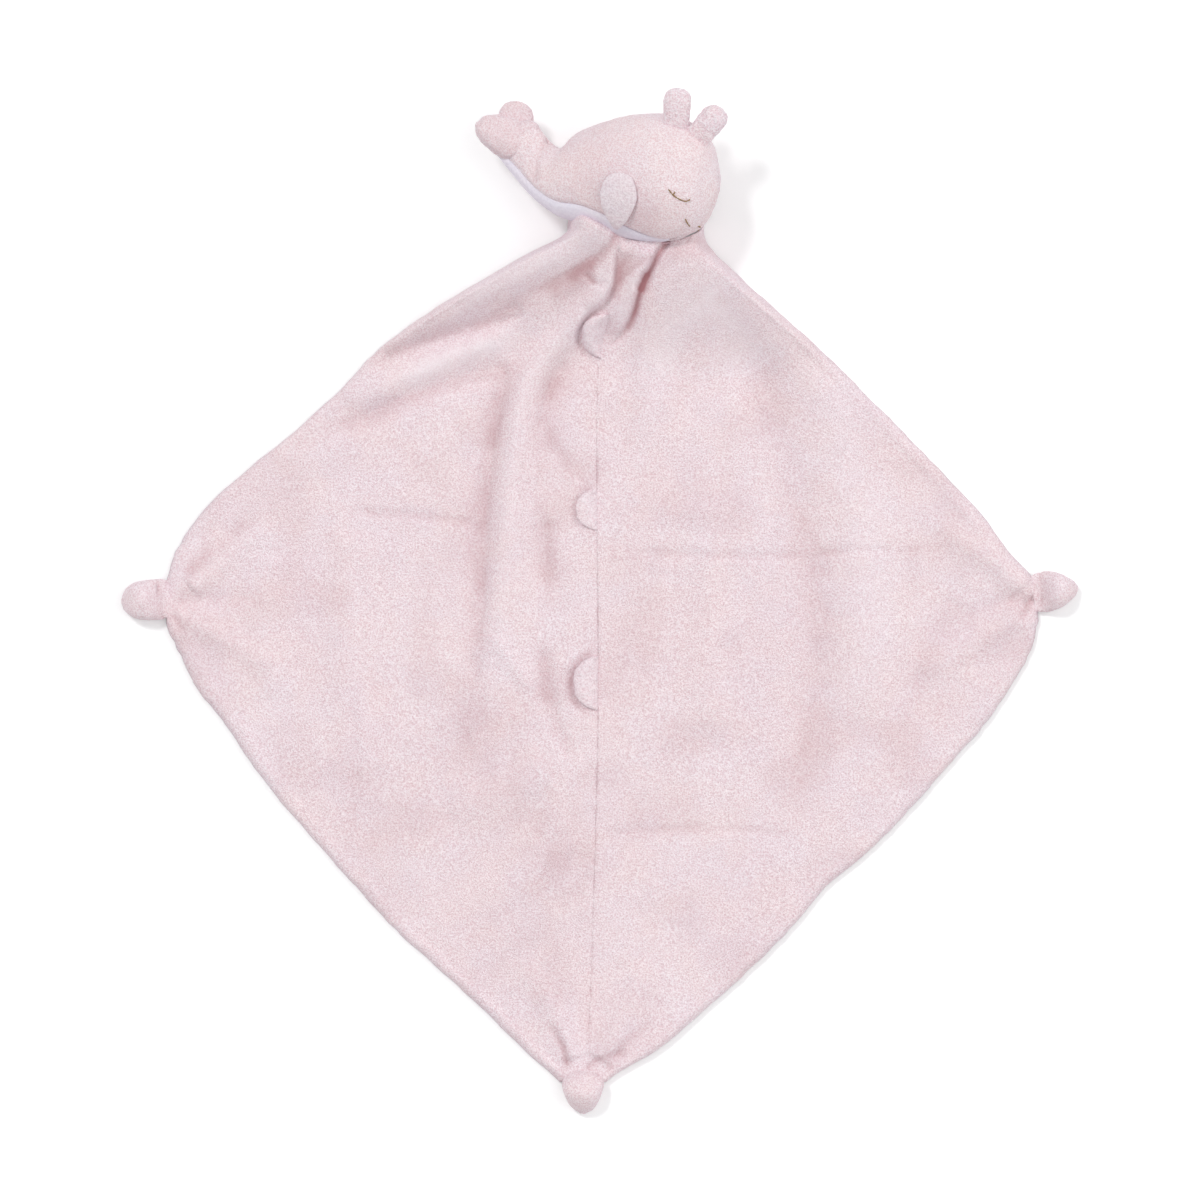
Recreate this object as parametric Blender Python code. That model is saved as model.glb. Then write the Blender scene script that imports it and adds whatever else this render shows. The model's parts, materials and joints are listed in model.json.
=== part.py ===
"""A comfort blanket: a small plush whale gathered onto a soft two-layer blanket with knotted corners.

The blanket lies flat on its back panel, at z = 0. The whale lies on its left side beyond the
gathered top corner. +X is to the right, +Y runs from the bottom corner towards the whale.
"""

import bpy
import bmesh
import numpy as np
from mathutils import Vector

for leftover in list(bpy.data.objects):
    bpy.data.objects.remove(leftover, do_unlink=True)

# Scale of the outline: the blanket's width between its side knots, in metres and in photo pixels
BLANKET_WIDTH = 0.435
PHOTO_PIXELS_ACROSS = 870
PHOTO_CENTRE_PIXELS = (600, 600)

# Gaps
SEAM_GAP = 0.0004
LAYER_GAP = 0.0003
RUNNING_GAP = 0.0005

# Blanket cloth
BACK_THICKNESS = 0.0024
FRONT_THICKNESS = 0.0032
THINNEST_CLOTH = 0.0014
HEM_RADIUS = 0.0045
NECK_HEM_RADIUS = 0.0200
NECK_SLOPE_LENGTH = 0.0700
SEAM_VALLEY_WIDTH = 0.0040
SEAM_VALLEY_DEPTH_SHARE = 0.35
THREAD_DIAMETER = 0.0010
FOLD_LOSS_AT_NECK_SHARE = 0.55
EDGE_SLANT_SHARE = 0.35
NECK_THREAD_LEFT_SHARE = 0.24
NECK_THREAD_RIGHT_SHARE = 0.20

# Whale
WHALE_LENGTH = 0.1065
WHALE_HEIGHT = 0.0650
WHALE_WIDTH = 0.0580
PLUSH_WALL = 0.0020
STUFFING_GAP = 0.0008
SEAM_HOLE_SHARE = 0.25
WALL_OF_GIRTH_SHARE = 0.4

# Limbs of the whale
FIN_WIDTH = 0.0186
FIN_THICKNESS = 0.0026
SPOUT_LENGTH = 0.0178
SPOUT_WIDTH = 0.0138
SPOUT_THICKNESS = 0.0090
SPOUT_PIVOT_SHARE = 0.40
FLUKE_LENGTH = 0.0190
FLUKE_WIDTH = 0.0185
FLUKE_THICKNESS = 0.0090
FLUKE_ROOT_DIAMETER = 0.0084
FLUKE_SUNK_SHARE = 0.13

# Tabs in the centre seam
TAB_THICKNESS = 0.0022
TAB_BEVEL = 0.0006
TAB_SEAM_SHARE = 0.15
TOP_TAB_REACH = 0.0120
MIDDLE_TAB_REACH = 0.0110
BOTTOM_TAB_REACH = 0.0118

# Knotted corners
KNOT_ROOT_DIAMETER = 0.0072
KNOT_THICKNESS = 0.0165
LEFT_KNOT_LENGTH = 0.0220
LEFT_KNOT_WIDTH = 0.0192
RIGHT_KNOT_LENGTH = 0.0192
RIGHT_KNOT_WIDTH = 0.0188
BOTTOM_KNOT_LENGTH = 0.0178
BOTTOM_KNOT_WIDTH = 0.0200

# Places read off the photograph, in pixels, x to the right and y down
SEAM_LINE_PIXELS = [
    (586, 1084), (590, 1000), (595, 850), (598, 700), (597, 520), (597, 400),
    (600, 352), (606, 325), (612, 285), (622, 236),
]
LEFT_EDGE_PIXELS = [
    (560, 1082), (548, 1071), (524, 1050), (484, 1010), (440, 970), (396, 930), (359, 890), (323, 850),
    (288, 810), (256, 770), (230, 730), (198, 690), (178, 650), (168, 628), (167, 605),
    (167, 582), (177, 550), (204, 510), (247, 470), (296, 430), (340, 390), (378, 350),
    (432, 310), (465, 290), (498, 270), (533, 251), (558, 239), (568, 231),
]
RIGHT_EDGE_PIXELS = [
    (607, 1082), (621, 1071), (657, 1050), (705, 1010), (749, 970), (789, 930), (823, 890), (870, 850),
    (909, 810), (944, 770), (980, 730), (1009, 690), (1031, 650), (1037, 628), (1038, 605),
    (1036, 582), (1008, 550), (978, 510), (940, 470), (901, 430), (861, 390), (821, 350),
    (776, 310), (754, 290), (733, 270), (712, 250), (704, 236),
]
BLANKET_BOTTOM_PIXEL_Y = 1076
BACK_TOP_PIXEL_Y = 256
NECK_LINE_PIXELS = [(566, 225), (640, 238), (706, 246)]
NECK_CENTRE_PIXEL = (640, 240)

# Folds of the front panels: height and half-width as shares of FOLD_HEIGHT and FOLD_HALF_WIDTH,
# then the line along the crest or the valley, in pixels
FOLD_HEIGHT = 0.0100
FOLD_HALF_WIDTH = 0.0110
LEFT_FOLDS = [
    (0.95, 1.10, [(606, 262), (560, 310), (532, 360), (520, 430), (514, 540), (500, 670)]),
    (-0.40, 0.70, [(590, 262), (545, 280), (500, 302), (450, 325), (395, 350)]),
    (0.70, 0.90, [(560, 245), (520, 265), (470, 296), (425, 324), (385, 352)]),
    (0.45, 0.90, [(500, 335), (450, 362), (400, 388), (345, 420)]),
    (-0.25, 0.80, [(488, 378), (430, 400), (375, 418), (330, 432)]),
    (-0.35, 0.80, [(490, 400), (486, 480), (484, 580), (478, 690)]),
    (-0.30, 0.70, [(570, 390), (564, 470), (568, 560), (572, 610)]),
    (0.25, 1.00, [(550, 770), (510, 790), (450, 812)]),
    (0.20, 0.90, [(272, 555), (268, 630), (275, 700)]),
    (0.22, 0.90, [(352, 530), (348, 640), (360, 780)]),
    (0.45, 0.60, [(190, 590), (225, 560), (275, 520)]),
    (0.40, 0.60, [(188, 618), (225, 640), (280, 670)]),
    (-0.25, 0.45, [(182, 603), (215, 600), (262, 596)]),
    (0.40, 0.60, [(574, 1046), (556, 1010), (520, 960)]),
]
RIGHT_FOLDS = [
    (0.85, 0.90, [(640, 262), (628, 300), (618, 345), (622, 410)]),
    (-0.55, 0.55, [(668, 250), (656, 290), (640, 322), (622, 352)]),
    (0.85, 1.00, [(690, 262), (688, 310), (676, 370), (668, 450)]),
    (0.40, 1.10, [(716, 262), (760, 320), (820, 380), (890, 440)]),
    (-0.30, 1.20, [(735, 330), (775, 430), (805, 540), (818, 650), (806, 760), (788, 830)]),
    (0.30, 1.20, [(800, 360), (845, 470), (862, 600), (858, 720)]),
    (0.22, 1.00, [(700, 500), (712, 620), (706, 740)]),
    (0.45, 0.60, [(1022, 596), (985, 560), (930, 520)]),
    (0.40, 0.60, [(1020, 610), (980, 640), (920, 676)]),
    (-0.30, 0.45, [(1026, 602), (985, 602), (935, 604)]),
    (0.40, 0.60, [(600, 1046), (622, 1010), (652, 962)]),
]

# The whale's spine and girth, nose to tail: x, y and z of the spine, then half height and half width,
# as shares of WHALE_LENGTH, WHALE_HEIGHT, WHALE_WIDTH, WHALE_HEIGHT and WHALE_WIDTH
WHALE_STATION_SHARES = np.array([
    (0.367, -0.069, 0.190, 0.000, 0.000),
    (0.355, -0.068, 0.183, 0.110, 0.105),
    (0.318, -0.062, 0.164, 0.277, 0.276),
    (0.275, -0.055, 0.142, 0.372, 0.372),
    (0.186, -0.031, 0.099, 0.462, 0.466),
    (0.094, -0.004, 0.052, 0.489, 0.500),
    (0.000, -0.002, 0.000, 0.484, 0.500),
    (-0.094, 0.001, -0.026, 0.458, 0.487),
    (-0.188, 0.003, -0.043, 0.408, 0.440),
    (-0.282, 0.000, -0.060, 0.352, 0.372),
    (-0.366, -0.002, -0.078, 0.290, 0.293),
    (-0.441, 0.042, -0.103, 0.218, 0.200),
    (-0.507, 0.138, -0.129, 0.182, 0.150),
    (-0.559, 0.246, -0.138, 0.150, 0.120),
    (-0.588, 0.318, -0.138, 0.080, 0.070),
    (-0.596, 0.338, -0.138, 0.000, 0.000),
])
WHALE_SIDE_DIRECTION = Vector((-0.35, 0.12, 0.93)).normalized()
WHALE_CENTRE_ABOVE_NECK_SHARE = 0.475
# Half angle of the pale belly at each station, in degrees
BELLY_HALF_ANGLES = [0, 0, 0, 0, 9, 20, 31, 40, 45, 50, 51, 50, 44, 26, 8, 0]
BELLY_FIRST_STATION = 4.0
BELLY_LAST_STATION = 13.5
SKIN_LAST_STATION = 13.5

# Places on the whale: station, and angle from the back round the right side, in degrees
EYE_PATH = [(3.88, 103.5), (3.65, 109.5), (3.35, 114), (3.03, 116.5), (2.8, 114)]
MOUTH_PATH = [(3.1, 140.5), (3.0, 151), (2.88, 160), (2.62, 172), (2.42, 180)]
RIGHT_FIN_PATH = [(6.93, 149.5), (6.8, 134.5), (6.67, 119.5), (6.54, 104.5), (6.42, 90)]
LEFT_FIN_PATH = [(7.0, 140), (6.85, 128), (6.7, 116), (6.55, 103), (6.4, 90)]
RIGHT_SPOUT_PLACE = (4.38, 20.5)
LEFT_SPOUT_PLACE = (3.18, 28.5)
RIGHT_SPOUT_DIRECTION = Vector((0.03, 0.98, 0.19)).normalized()
LEFT_SPOUT_DIRECTION = Vector((0.64, 0.74, 0.20)).normalized()
SPOUT_ROOT_DIRECTION = Vector((0.92, -0.39, 0.0)).normalized()
RIGHT_FLUKE_DIRECTION = Vector((-0.89, 0.02, 0.45))
LEFT_FLUKE_DIRECTION = Vector((0.14, 0.90, -0.42))

# Profiles of the limbs: place along, half width and half thickness, as shares of their sizes
FIN_SHARES = [
    (0.00, 0.00, 0.00), (0.03, 0.20, 0.34), (0.10, 0.36, 0.62), (0.22, 0.58, 0.86), (0.38, 0.82, 0.98),
    (0.55, 0.98, 1.00), (0.72, 1.00, 0.96), (0.86, 0.84, 0.80), (0.95, 0.52, 0.50), (1.00, 0.00, 0.00),
]
LEAF_SHARES = [
    (0.00, 0.00, 0.00), (0.03, 0.20, 0.34), (0.10, 0.48, 0.62), (0.22, 0.76, 0.86), (0.38, 0.95, 0.98),
    (0.55, 1.00, 1.00), (0.72, 0.91, 0.92), (0.86, 0.70, 0.74), (0.95, 0.43, 0.48), (1.00, 0.00, 0.00),
]
SPOUT_SHARES = [
    (0.00, 0.00, 0.00), (0.03, 0.50, 0.46), (0.10, 0.74, 0.74), (0.22, 0.82, 0.88), (0.40, 0.88, 0.95),
    (0.60, 0.97, 1.00), (0.76, 1.00, 0.98), (0.89, 0.84, 0.84), (0.97, 0.48, 0.50), (1.00, 0.00, 0.00),
]
ROUND_KNOT_SHARES = [
    (0.00, 0.00, 0.00), (0.04, 0.60, 0.26), (0.13, 0.78, 0.40), (0.24, 0.88, 0.56), (0.36, 0.96, 0.80),
    (0.52, 1.00, 1.00), (0.70, 0.94, 0.96), (0.86, 0.72, 0.76), (0.95, 0.44, 0.46), (1.00, 0.00, 0.00),
]
POINTED_KNOT_SHARES = [
    (0.00, 0.00, 0.00), (0.04, 0.68, 0.26), (0.13, 0.92, 0.42), (0.24, 1.00, 0.58), (0.36, 0.98, 0.78),
    (0.52, 0.86, 0.88), (0.70, 0.66, 0.78), (0.86, 0.44, 0.56), (0.95, 0.26, 0.34), (1.00, 0.00, 0.00),
]

# Counts
PANEL_ROWS = 40
PANEL_NECK_ROWS = 12
PANEL_COLUMNS = 18
FOLD_POINTS = 40
WHALE_ROWS = 22
NORMAL_STEP = 0.01
SIDE_COLUMNS = 11
BELLY_COLUMNS = 6
STUFFING_COLUMNS = 20
LIMB_SIDES = 14
THREAD_SIDES = 2
EDGE_PASSES = 3
NECK_THREAD_POINTS = 16
TAB_RIM_POINTS = 13
TAB_REST_ROWS = 6
SEAM_LINE_POINTS = 160
EDGE_POINTS = 300
SAMPLE_ROWS = 151
SAMPLE_COLUMNS = 145
EYE_POINTS = 9
MOUTH_POINTS = 15

# Colours: red, green, blue, in linear light
PINK_PLUSH = (0.80, 0.64, 0.67)
PALE_VELOUR = (0.76, 0.74, 0.82)
FIN_VELOUR = (0.86, 0.74, 0.77)
WHITE_FILL = (0.88, 0.88, 0.86)
TAN_THREAD = (0.26, 0.17, 0.10)
PINK_THREAD = (0.72, 0.50, 0.54)


def material(name, colour, roughness):
    """A plain material of one colour."""
    found = bpy.data.materials.get(name)
    if found:
        return found
    made = bpy.data.materials.new(name)
    made.use_nodes = True
    shader = made.node_tree.nodes["Principled BSDF"]
    shader.inputs["Base Color"].default_value = (*colour, 1.0)
    shader.inputs["Roughness"].default_value = roughness
    shader.inputs["Metallic"].default_value = 0.0
    made.diffuse_color = (*colour, 1.0)
    return made


PLUSH = material("pink_plush", PINK_PLUSH, 0.95)
VELOUR = material("pale_velour", PALE_VELOUR, 0.80)
FIN_CLOTH = material("fin_velour", FIN_VELOUR, 0.85)
FILL = material("fibre_filling", WHITE_FILL, 0.95)
EMBROIDERY = material("tan_embroidery_thread", TAN_THREAD, 0.60)
SEWING = material("pink_sewing_thread", PINK_THREAD, 0.70)


def from_photo(pixels):
    """Metres in the plane of the blanket for points given in photo pixels."""
    pixels = np.asarray(pixels, dtype=float)
    metres_per_pixel = BLANKET_WIDTH / PHOTO_PIXELS_ACROSS
    x = (pixels[..., 0] - PHOTO_CENTRE_PIXELS[0]) * metres_per_pixel
    y = (PHOTO_CENTRE_PIXELS[1] - pixels[..., 1]) * metres_per_pixel
    return np.stack([x, y], axis=-1)


def catmull_rom(values, place):
    """Rows of a table read at fractional places along a smooth curve through them."""
    values = np.asarray(values, dtype=float)
    last = len(values) - 1
    place = np.clip(np.asarray(place, dtype=float), 0, last)
    index = np.minimum(place.astype(int), last - 1)
    t = (place - index)[..., None]
    before = values[np.maximum(index - 1, 0)]
    start = values[index]
    end = values[index + 1]
    after = values[np.minimum(index + 2, last)]
    straight = end - start
    leaving = (end - before) / 2
    arriving = (after - start) / 2
    return start + leaving * t + (3 * straight - 2 * leaving - arriving) * t**2 \
        + (leaving + arriving - 2 * straight) * t**3


def smooth_points(points, count):
    """Points evenly spread over the knots of a smooth curve."""
    return catmull_rom(points, np.linspace(0, len(points) - 1, count))


def smooth_step(value):
    """0 below 0, 1 above 1, and a smooth climb between."""
    value = np.clip(value, 0, 1)
    return value * value * (3 - 2 * value)


def link(name, mesh_or_curve, look):
    """A named object with its material."""
    made = bpy.data.objects.new(name, mesh_or_curve)
    mesh_or_curve.materials.append(look)
    bpy.context.scene.collection.objects.link(made)
    return made


def mesh_object(name, points, faces, look):
    """An object from points and faces, with its faces turned outwards."""
    mesh = bpy.data.meshes.new(name)
    mesh.from_pydata([tuple(p) for p in points], [], faces)
    shell = bmesh.new()
    shell.from_mesh(mesh)
    bmesh.ops.recalc_face_normals(shell, faces=shell.faces)
    shell.to_mesh(mesh)
    shell.free()
    mesh.shade_smooth()
    return link(name, mesh, look)


def grid_faces(rows, columns, start, flip=False):
    """Quads of a grid of points, row after row."""
    faces = []
    for row in range(rows - 1):
        for column in range(columns - 1):
            a = start + row * columns + column
            quad = (a, a + 1, a + 1 + columns, a + columns)
            faces.append(quad[::-1] if flip else quad)
    return faces


def rim_indices(rows, columns, start):
    """The border of a grid of points, once round."""
    first = [start + c for c in range(columns)]
    right = [start + r * columns + columns - 1 for r in range(1, rows)]
    last = [start + (rows - 1) * columns + c for c in range(columns - 2, -1, -1)]
    left = [start + r * columns for r in range(rows - 2, 0, -1)]
    return first + right + last + left


def band_faces(rim_a, rim_b):
    """Quads between two borders with as many points."""
    count = len(rim_a)
    return [(rim_a[i], rim_a[(i + 1) % count], rim_b[(i + 1) % count], rim_b[i]) for i in range(count)]


def slab_object(name, top, bottom_z, look):
    """A cloth solid: a relief on top, a flat face below."""
    rows, columns = top.shape[:2]
    points = top.reshape(-1, 3)
    rim = rim_indices(rows, columns, 0)
    floor = points[rim].copy()
    floor[:, 2] = bottom_z
    below = list(range(len(points), len(points) + len(rim)))
    faces = grid_faces(rows, columns, 0) + band_faces(rim, below) + [tuple(below[::-1])]
    return mesh_object(name, np.vstack([points, floor]), faces, look)


def shell_object(name, outer, inner, look):
    """A skin between two grids of points, closed round its border."""
    rows, columns = outer.shape[:2]
    count = rows * columns
    faces = grid_faces(rows, columns, 0) + grid_faces(rows, columns, count, flip=True)
    faces += band_faces(rim_indices(rows, columns, 0), rim_indices(rows, columns, count))
    return mesh_object(name, np.vstack([outer.reshape(-1, 3), inner.reshape(-1, 3)]), faces, look)


def ring_mesh(rings, first_pole, last_pole):
    """Points and faces of rings joined in a row and closed at two poles."""
    count, sides = rings.shape[:2]
    points = np.vstack([rings.reshape(-1, 3), first_pole, last_pole])
    faces = []
    for ring in range(count - 1):
        for side in range(sides):
            a = ring * sides + side
            b = ring * sides + (side + 1) % sides
            faces.append((a, b, b + sides, a + sides))
    first, last = count * sides, count * sides + 1
    for side in range(sides):
        other = (side + 1) % sides
        faces.append((first, other, side))
        faces.append((last, (count - 1) * sides + side, (count - 1) * sides + other))
    return points, faces


def limb(name, centres, across, outward, width, thickness, shares, look):
    """A stuffed limb: ellipses that swell and taper along a line of centres, closed at both ends."""
    shares = np.array(shares)
    turn = np.linspace(0, 2 * np.pi, LIMB_SIDES, endpoint=False)
    inner = slice(1, -1)
    half_width = shares[inner, 1] * width / 2
    half_thickness = shares[inner, 2] * thickness / 2
    side = np.cos(turn)[None, :, None] * half_width[:, None, None] * across[inner, None, :]
    lift = np.sin(turn)[None, :, None] * half_thickness[:, None, None] * outward[inner, None, :]
    rings = centres[inner, None, :] + side + lift
    points, faces = ring_mesh(rings, centres[0], centres[-1])
    return mesh_object(name, points, faces, look)


def straight_limb(name, root, direction, across, length, width, thickness, shares, look):
    """A stuffed limb that grows straight out of its root."""
    along = np.array([row[0] for row in shares])[:, None]
    direction = Vector(direction).normalized()
    across = (Vector(across) - Vector(across).project(direction)).normalized()
    outward = direction.cross(across)
    centres = np.array(root) + along * length * np.array(direction)
    ones = np.ones((len(shares), 1))
    return limb(name, centres, ones * np.array(across), ones * np.array(outward),
                width, thickness, shares, look)


def set_origin(piece, place):
    """Moves a piece's origin to a point on its joint's axis and leaves its shape where it is."""
    place = Vector([float(value) for value in place])
    for vertex in piece.data.vertices:
        vertex.co -= place
    piece.location = place


def thread(name, points, look):
    """A sewn thread along a line of points."""
    curve = bpy.data.curves.new(name, "CURVE")
    curve.dimensions = "3D"
    curve.bevel_depth = THREAD_DIAMETER / 2
    curve.bevel_resolution = THREAD_SIDES
    curve.use_fill_caps = True
    line = curve.splines.new("POLY")
    line.points.add(len(points) - 1)
    for knot, place in zip(line.points, points):
        knot.co = (*place, 1.0)
    return link(name, curve, look)


# The whale's body as a surface: station from nose to tail, and angle from the back round the right side

WHALE_SIZES = np.array([WHALE_LENGTH, WHALE_HEIGHT, WHALE_WIDTH, WHALE_HEIGHT, WHALE_WIDTH])
STATIONS = WHALE_STATION_SHARES * WHALE_SIZES
SPINE = STATIONS[:, :3]
FORWARD = -np.gradient(SPINE, axis=0)
FORWARD /= np.linalg.norm(FORWARD, axis=1)[:, None]
SIDEWAYS = np.array(WHALE_SIDE_DIRECTION) - (FORWARD @ np.array(WHALE_SIDE_DIRECTION))[:, None] * FORWARD
SIDEWAYS /= np.linalg.norm(SIDEWAYS, axis=1)[:, None]
BACKWARD_UP = np.cross(SIDEWAYS, FORWARD)


def whale_skin(station, angle):
    """Points of the whale's outer surface about its own centre."""
    station, angle = np.broadcast_arrays(np.asarray(station, float), np.asarray(angle, float))
    spine = catmull_rom(SPINE, station)
    up = catmull_rom(BACKWARD_UP, station)
    side = catmull_rom(SIDEWAYS, station)
    girth = np.maximum(catmull_rom(STATIONS[:, 3:], station), 0)
    return spine + up * (girth[..., 0] * np.cos(angle))[..., None] \
        + side * (girth[..., 1] * np.sin(angle))[..., None]


def whale_normal(station, angle):
    """Outward directions of the whale's surface."""
    small = NORMAL_STEP
    along = whale_skin(np.asarray(station) + small, angle) - whale_skin(np.asarray(station) - small, angle)
    round_it = whale_skin(station, np.asarray(angle) + small) - whale_skin(station, np.asarray(angle) - small)
    normal = np.cross(along, round_it)
    return normal / np.linalg.norm(normal, axis=-1)[..., None]


# The whale lies on its left fin, with the neck of the blanket at the middle of its belly

LAST_STATION = len(WHALE_STATION_SHARES) - 1
ALL_STATIONS, ALL_ANGLES = np.meshgrid(
    np.linspace(0, LAST_STATION, SAMPLE_ROWS), np.linspace(0, 2 * np.pi, SAMPLE_COLUMNS), indexing="ij")
BODY_SAMPLES = whale_skin(ALL_STATIONS, ALL_ANGLES).reshape(-1, 3)
NECK_CENTRE = from_photo(NECK_CENTRE_PIXEL)
WHALE_CENTRE = np.array([
    NECK_CENTRE[0],
    NECK_CENTRE[1] + WHALE_CENTRE_ABOVE_NECK_SHARE * WHALE_HEIGHT,
    FIN_THICKNESS + RUNNING_GAP + LAYER_GAP - BODY_SAMPLES[:, 2].min(),
])
BODY_SAMPLES = BODY_SAMPLES + WHALE_CENTRE


def on_whale(station, angle_degrees, height=0.0):
    """Points on the whale where it lies, raised off its surface by a height."""
    angle = np.radians(angle_degrees)
    return WHALE_CENTRE + whale_skin(station, angle) \
        + whale_normal(station, angle) * np.asarray(height)[..., None]


def belly_reach(x):
    """How far the belly comes down towards the blanket at each x."""
    window = WHALE_LENGTH / len(WHALE_STATION_SHARES) / 2
    near = np.abs(BODY_SAMPLES[:, 0][None, :] - np.ravel(x)[:, None]) < window
    reach = np.where(near, BODY_SAMPLES[:, 1][None, :], np.inf).min(axis=1)
    return reach.reshape(np.shape(x))


LOWEST_BELLY = BODY_SAMPLES[np.argmin(BODY_SAMPLES[:, 1])]
NECK_GAP = THREAD_DIAMETER + 2 * RUNNING_GAP
TILT_AXIS_POINT = LOWEST_BELLY

# Edges of the blanket, as x for a height y

SEAM_LINE = smooth_points(from_photo(SEAM_LINE_PIXELS), SEAM_LINE_POINTS)
LEFT_EDGE = smooth_points(from_photo(LEFT_EDGE_PIXELS), EDGE_POINTS)
RIGHT_EDGE = smooth_points(from_photo(RIGHT_EDGE_PIXELS), EDGE_POINTS)
NECK_LINE = from_photo(NECK_LINE_PIXELS)
BLANKET_BOTTOM = from_photo((0, BLANKET_BOTTOM_PIXEL_Y))[1]
BACK_TOP = from_photo((0, BACK_TOP_PIXEL_Y))[1]


def line_x(line, y):
    """x of a line that climbs in y."""
    return np.interp(y, line[:, 1], line[:, 0])


def neck_end(x):
    """Where the gathered cloth stops short of the whale's belly and its thread."""
    sewn = np.interp(x, NECK_LINE[:, 0], NECK_LINE[:, 1])
    return np.minimum(sewn, belly_reach(x) - NECK_GAP)


FRONT_BOTTOM = BACK_THICKNESS + LAYER_GAP
NECK_TOP = TILT_AXIS_POINT[2] - LAYER_GAP


def fold_relief(x, y, folds):
    """The sum of all folds: bells across each line, fading out at its two ends."""
    relief = np.zeros(np.shape(x))
    for height_share, width_share, pixels in folds:
        line = smooth_points(from_photo(pixels), FOLD_POINTS)
        offset = np.stack([x, y], axis=-1)[..., None, :] - line
        distance = np.linalg.norm(offset, axis=-1)
        nearest = np.argmin(distance, axis=-1)
        fade = np.sqrt(np.sin(np.pi * (nearest + 0.5) / FOLD_POINTS))
        bell = np.exp(-(distance.min(axis=-1) / (width_share * FOLD_HALF_WIDTH)) ** 2)
        relief += height_share * FOLD_HEIGHT * bell * fade
    return relief


def cloth_top(x, y, hem_distance, seam_distance, folds):
    """Height of the front panels: flat cloth with folds, a climb to the neck and rounded hems."""
    neck_y = np.interp(x, NECK_LINE[:, 0], NECK_LINE[:, 1])
    climb = smooth_step(1 - (neck_y - y) / NECK_SLOPE_LENGTH)
    flat = FRONT_BOTTOM + FRONT_THICKNESS
    seam = 1 - SEAM_VALLEY_DEPTH_SHARE * np.exp(-(seam_distance / SEAM_VALLEY_WIDTH) ** 2)
    height = FRONT_THICKNESS * seam + fold_relief(x, y, folds) * (1 - FOLD_LOSS_AT_NECK_SHARE * climb)
    height = np.maximum(height, THINNEST_CLOTH) + climb * (NECK_TOP - flat)
    hem_radius = HEM_RADIUS + (NECK_HEM_RADIUS - HEM_RADIUS) * climb
    inside = np.clip(hem_distance / hem_radius, 0, 1)
    hem = np.sqrt(1 - (1 - inside) ** 2)
    height = THINNEST_CLOTH + (height - THINNEST_CLOTH) * hem
    return np.minimum(FRONT_BOTTOM + height, NECK_TOP)


def panel_rows():
    """Heights y of the cloth's rows, closer together on the way up to the neck."""
    neck_y = NECK_LINE[:, 1].max()
    slope_start = neck_y - NECK_SLOPE_LENGTH
    low = np.linspace(BLANKET_BOTTOM, slope_start, PANEL_ROWS - PANEL_NECK_ROWS, endpoint=False)
    return np.concatenate([low, np.linspace(slope_start, neck_y, PANEL_NECK_ROWS)])


def front_panel(name, edge, folds, side):
    """One half of the front, from the centre seam out to its hem. side is -1 to the left, 1 to the right."""
    y_rows = panel_rows()
    share = np.linspace(0, 1, PANEL_COLUMNS)[None, :]
    rows = np.repeat(y_rows[:, None], PANEL_COLUMNS, axis=1)
    pulled = np.clip(1 - (y_rows[-1] - rows) / NECK_SLOPE_LENGTH, 0, 1)
    y = rows
    for _ in range(EDGE_PASSES):
        seam_x = line_x(SEAM_LINE, y) + side * (THREAD_DIAMETER / 2 + SEAM_GAP)
        edge_x = line_x(edge, y)
        x = seam_x + (edge_x - seam_x) * share
        y = rows + pulled * (neck_end(x) - y_rows[-1])
    slant = np.clip(np.abs(edge_x - seam_x) / (BLANKET_WIDTH / 2), 0, 1)
    hem_distance = np.abs(edge_x - x) * (1 - EDGE_SLANT_SHARE * slant)
    z = cloth_top(x, y, hem_distance, np.abs(x - seam_x), folds)
    if side < 0:
        x, y, z = x[:, ::-1], y[:, ::-1], z[:, ::-1]
    return slab_object(name, np.stack([x, y, z], axis=-1), FRONT_BOTTOM, PLUSH)


def back_panel():
    """The flat back, with its hem drawn in a little under the front's hem."""
    y_rows = np.linspace(BLANKET_BOTTOM, BACK_TOP, PANEL_ROWS)
    left = np.stack([line_x(LEFT_EDGE, y_rows), y_rows], axis=-1)
    right = np.stack([line_x(RIGHT_EDGE, y_rows), y_rows], axis=-1)
    outline = np.vstack([right, left[::-1]])
    draft = bmesh.new()
    floor = draft.faces.new([draft.verts.new((x, y, 0.0)) for x, y in outline])
    lifted = bmesh.ops.extrude_face_region(draft, geom=[floor])
    rising = [item for item in lifted["geom"] if isinstance(item, bmesh.types.BMVert)]
    bmesh.ops.translate(draft, verts=rising, vec=(0, 0, BACK_THICKNESS))
    bmesh.ops.recalc_face_normals(draft, faces=draft.faces)
    mesh = bpy.data.meshes.new("blanket_back_panel")
    draft.to_mesh(mesh)
    draft.free()
    return link("blanket_back_panel", mesh, PLUSH)


def seam_thread():
    """The thread of the centre seam, lying between the two front panels."""
    y_rows = panel_rows()
    y_rows = y_rows[y_rows < BACK_TOP]
    z = FRONT_BOTTOM + THREAD_DIAMETER / 2 + LAYER_GAP
    points = [(x, y, z) for x, y in zip(line_x(SEAM_LINE, y_rows), y_rows)]
    return thread("centre_seam_thread", points, SEWING)


def neck_thread():
    """The thread that gathers the neck and holds it to the belly, lying between the two."""
    reach = BODY_SAMPLES[:, 0].max() - BODY_SAMPLES[:, 0].min()
    centre = NECK_CENTRE[0]
    start = centre - reach * NECK_THREAD_LEFT_SHARE
    end = centre + reach * NECK_THREAD_RIGHT_SHARE
    x = np.linspace(start, end, NECK_THREAD_POINTS)
    y = belly_reach(x) - RUNNING_GAP - THREAD_DIAMETER / 2
    z = np.full(x.shape, TILT_AXIS_POINT[2] - THREAD_DIAMETER)
    return thread("neck_thread", np.stack([x, y, z], axis=-1), SEWING)


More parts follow.
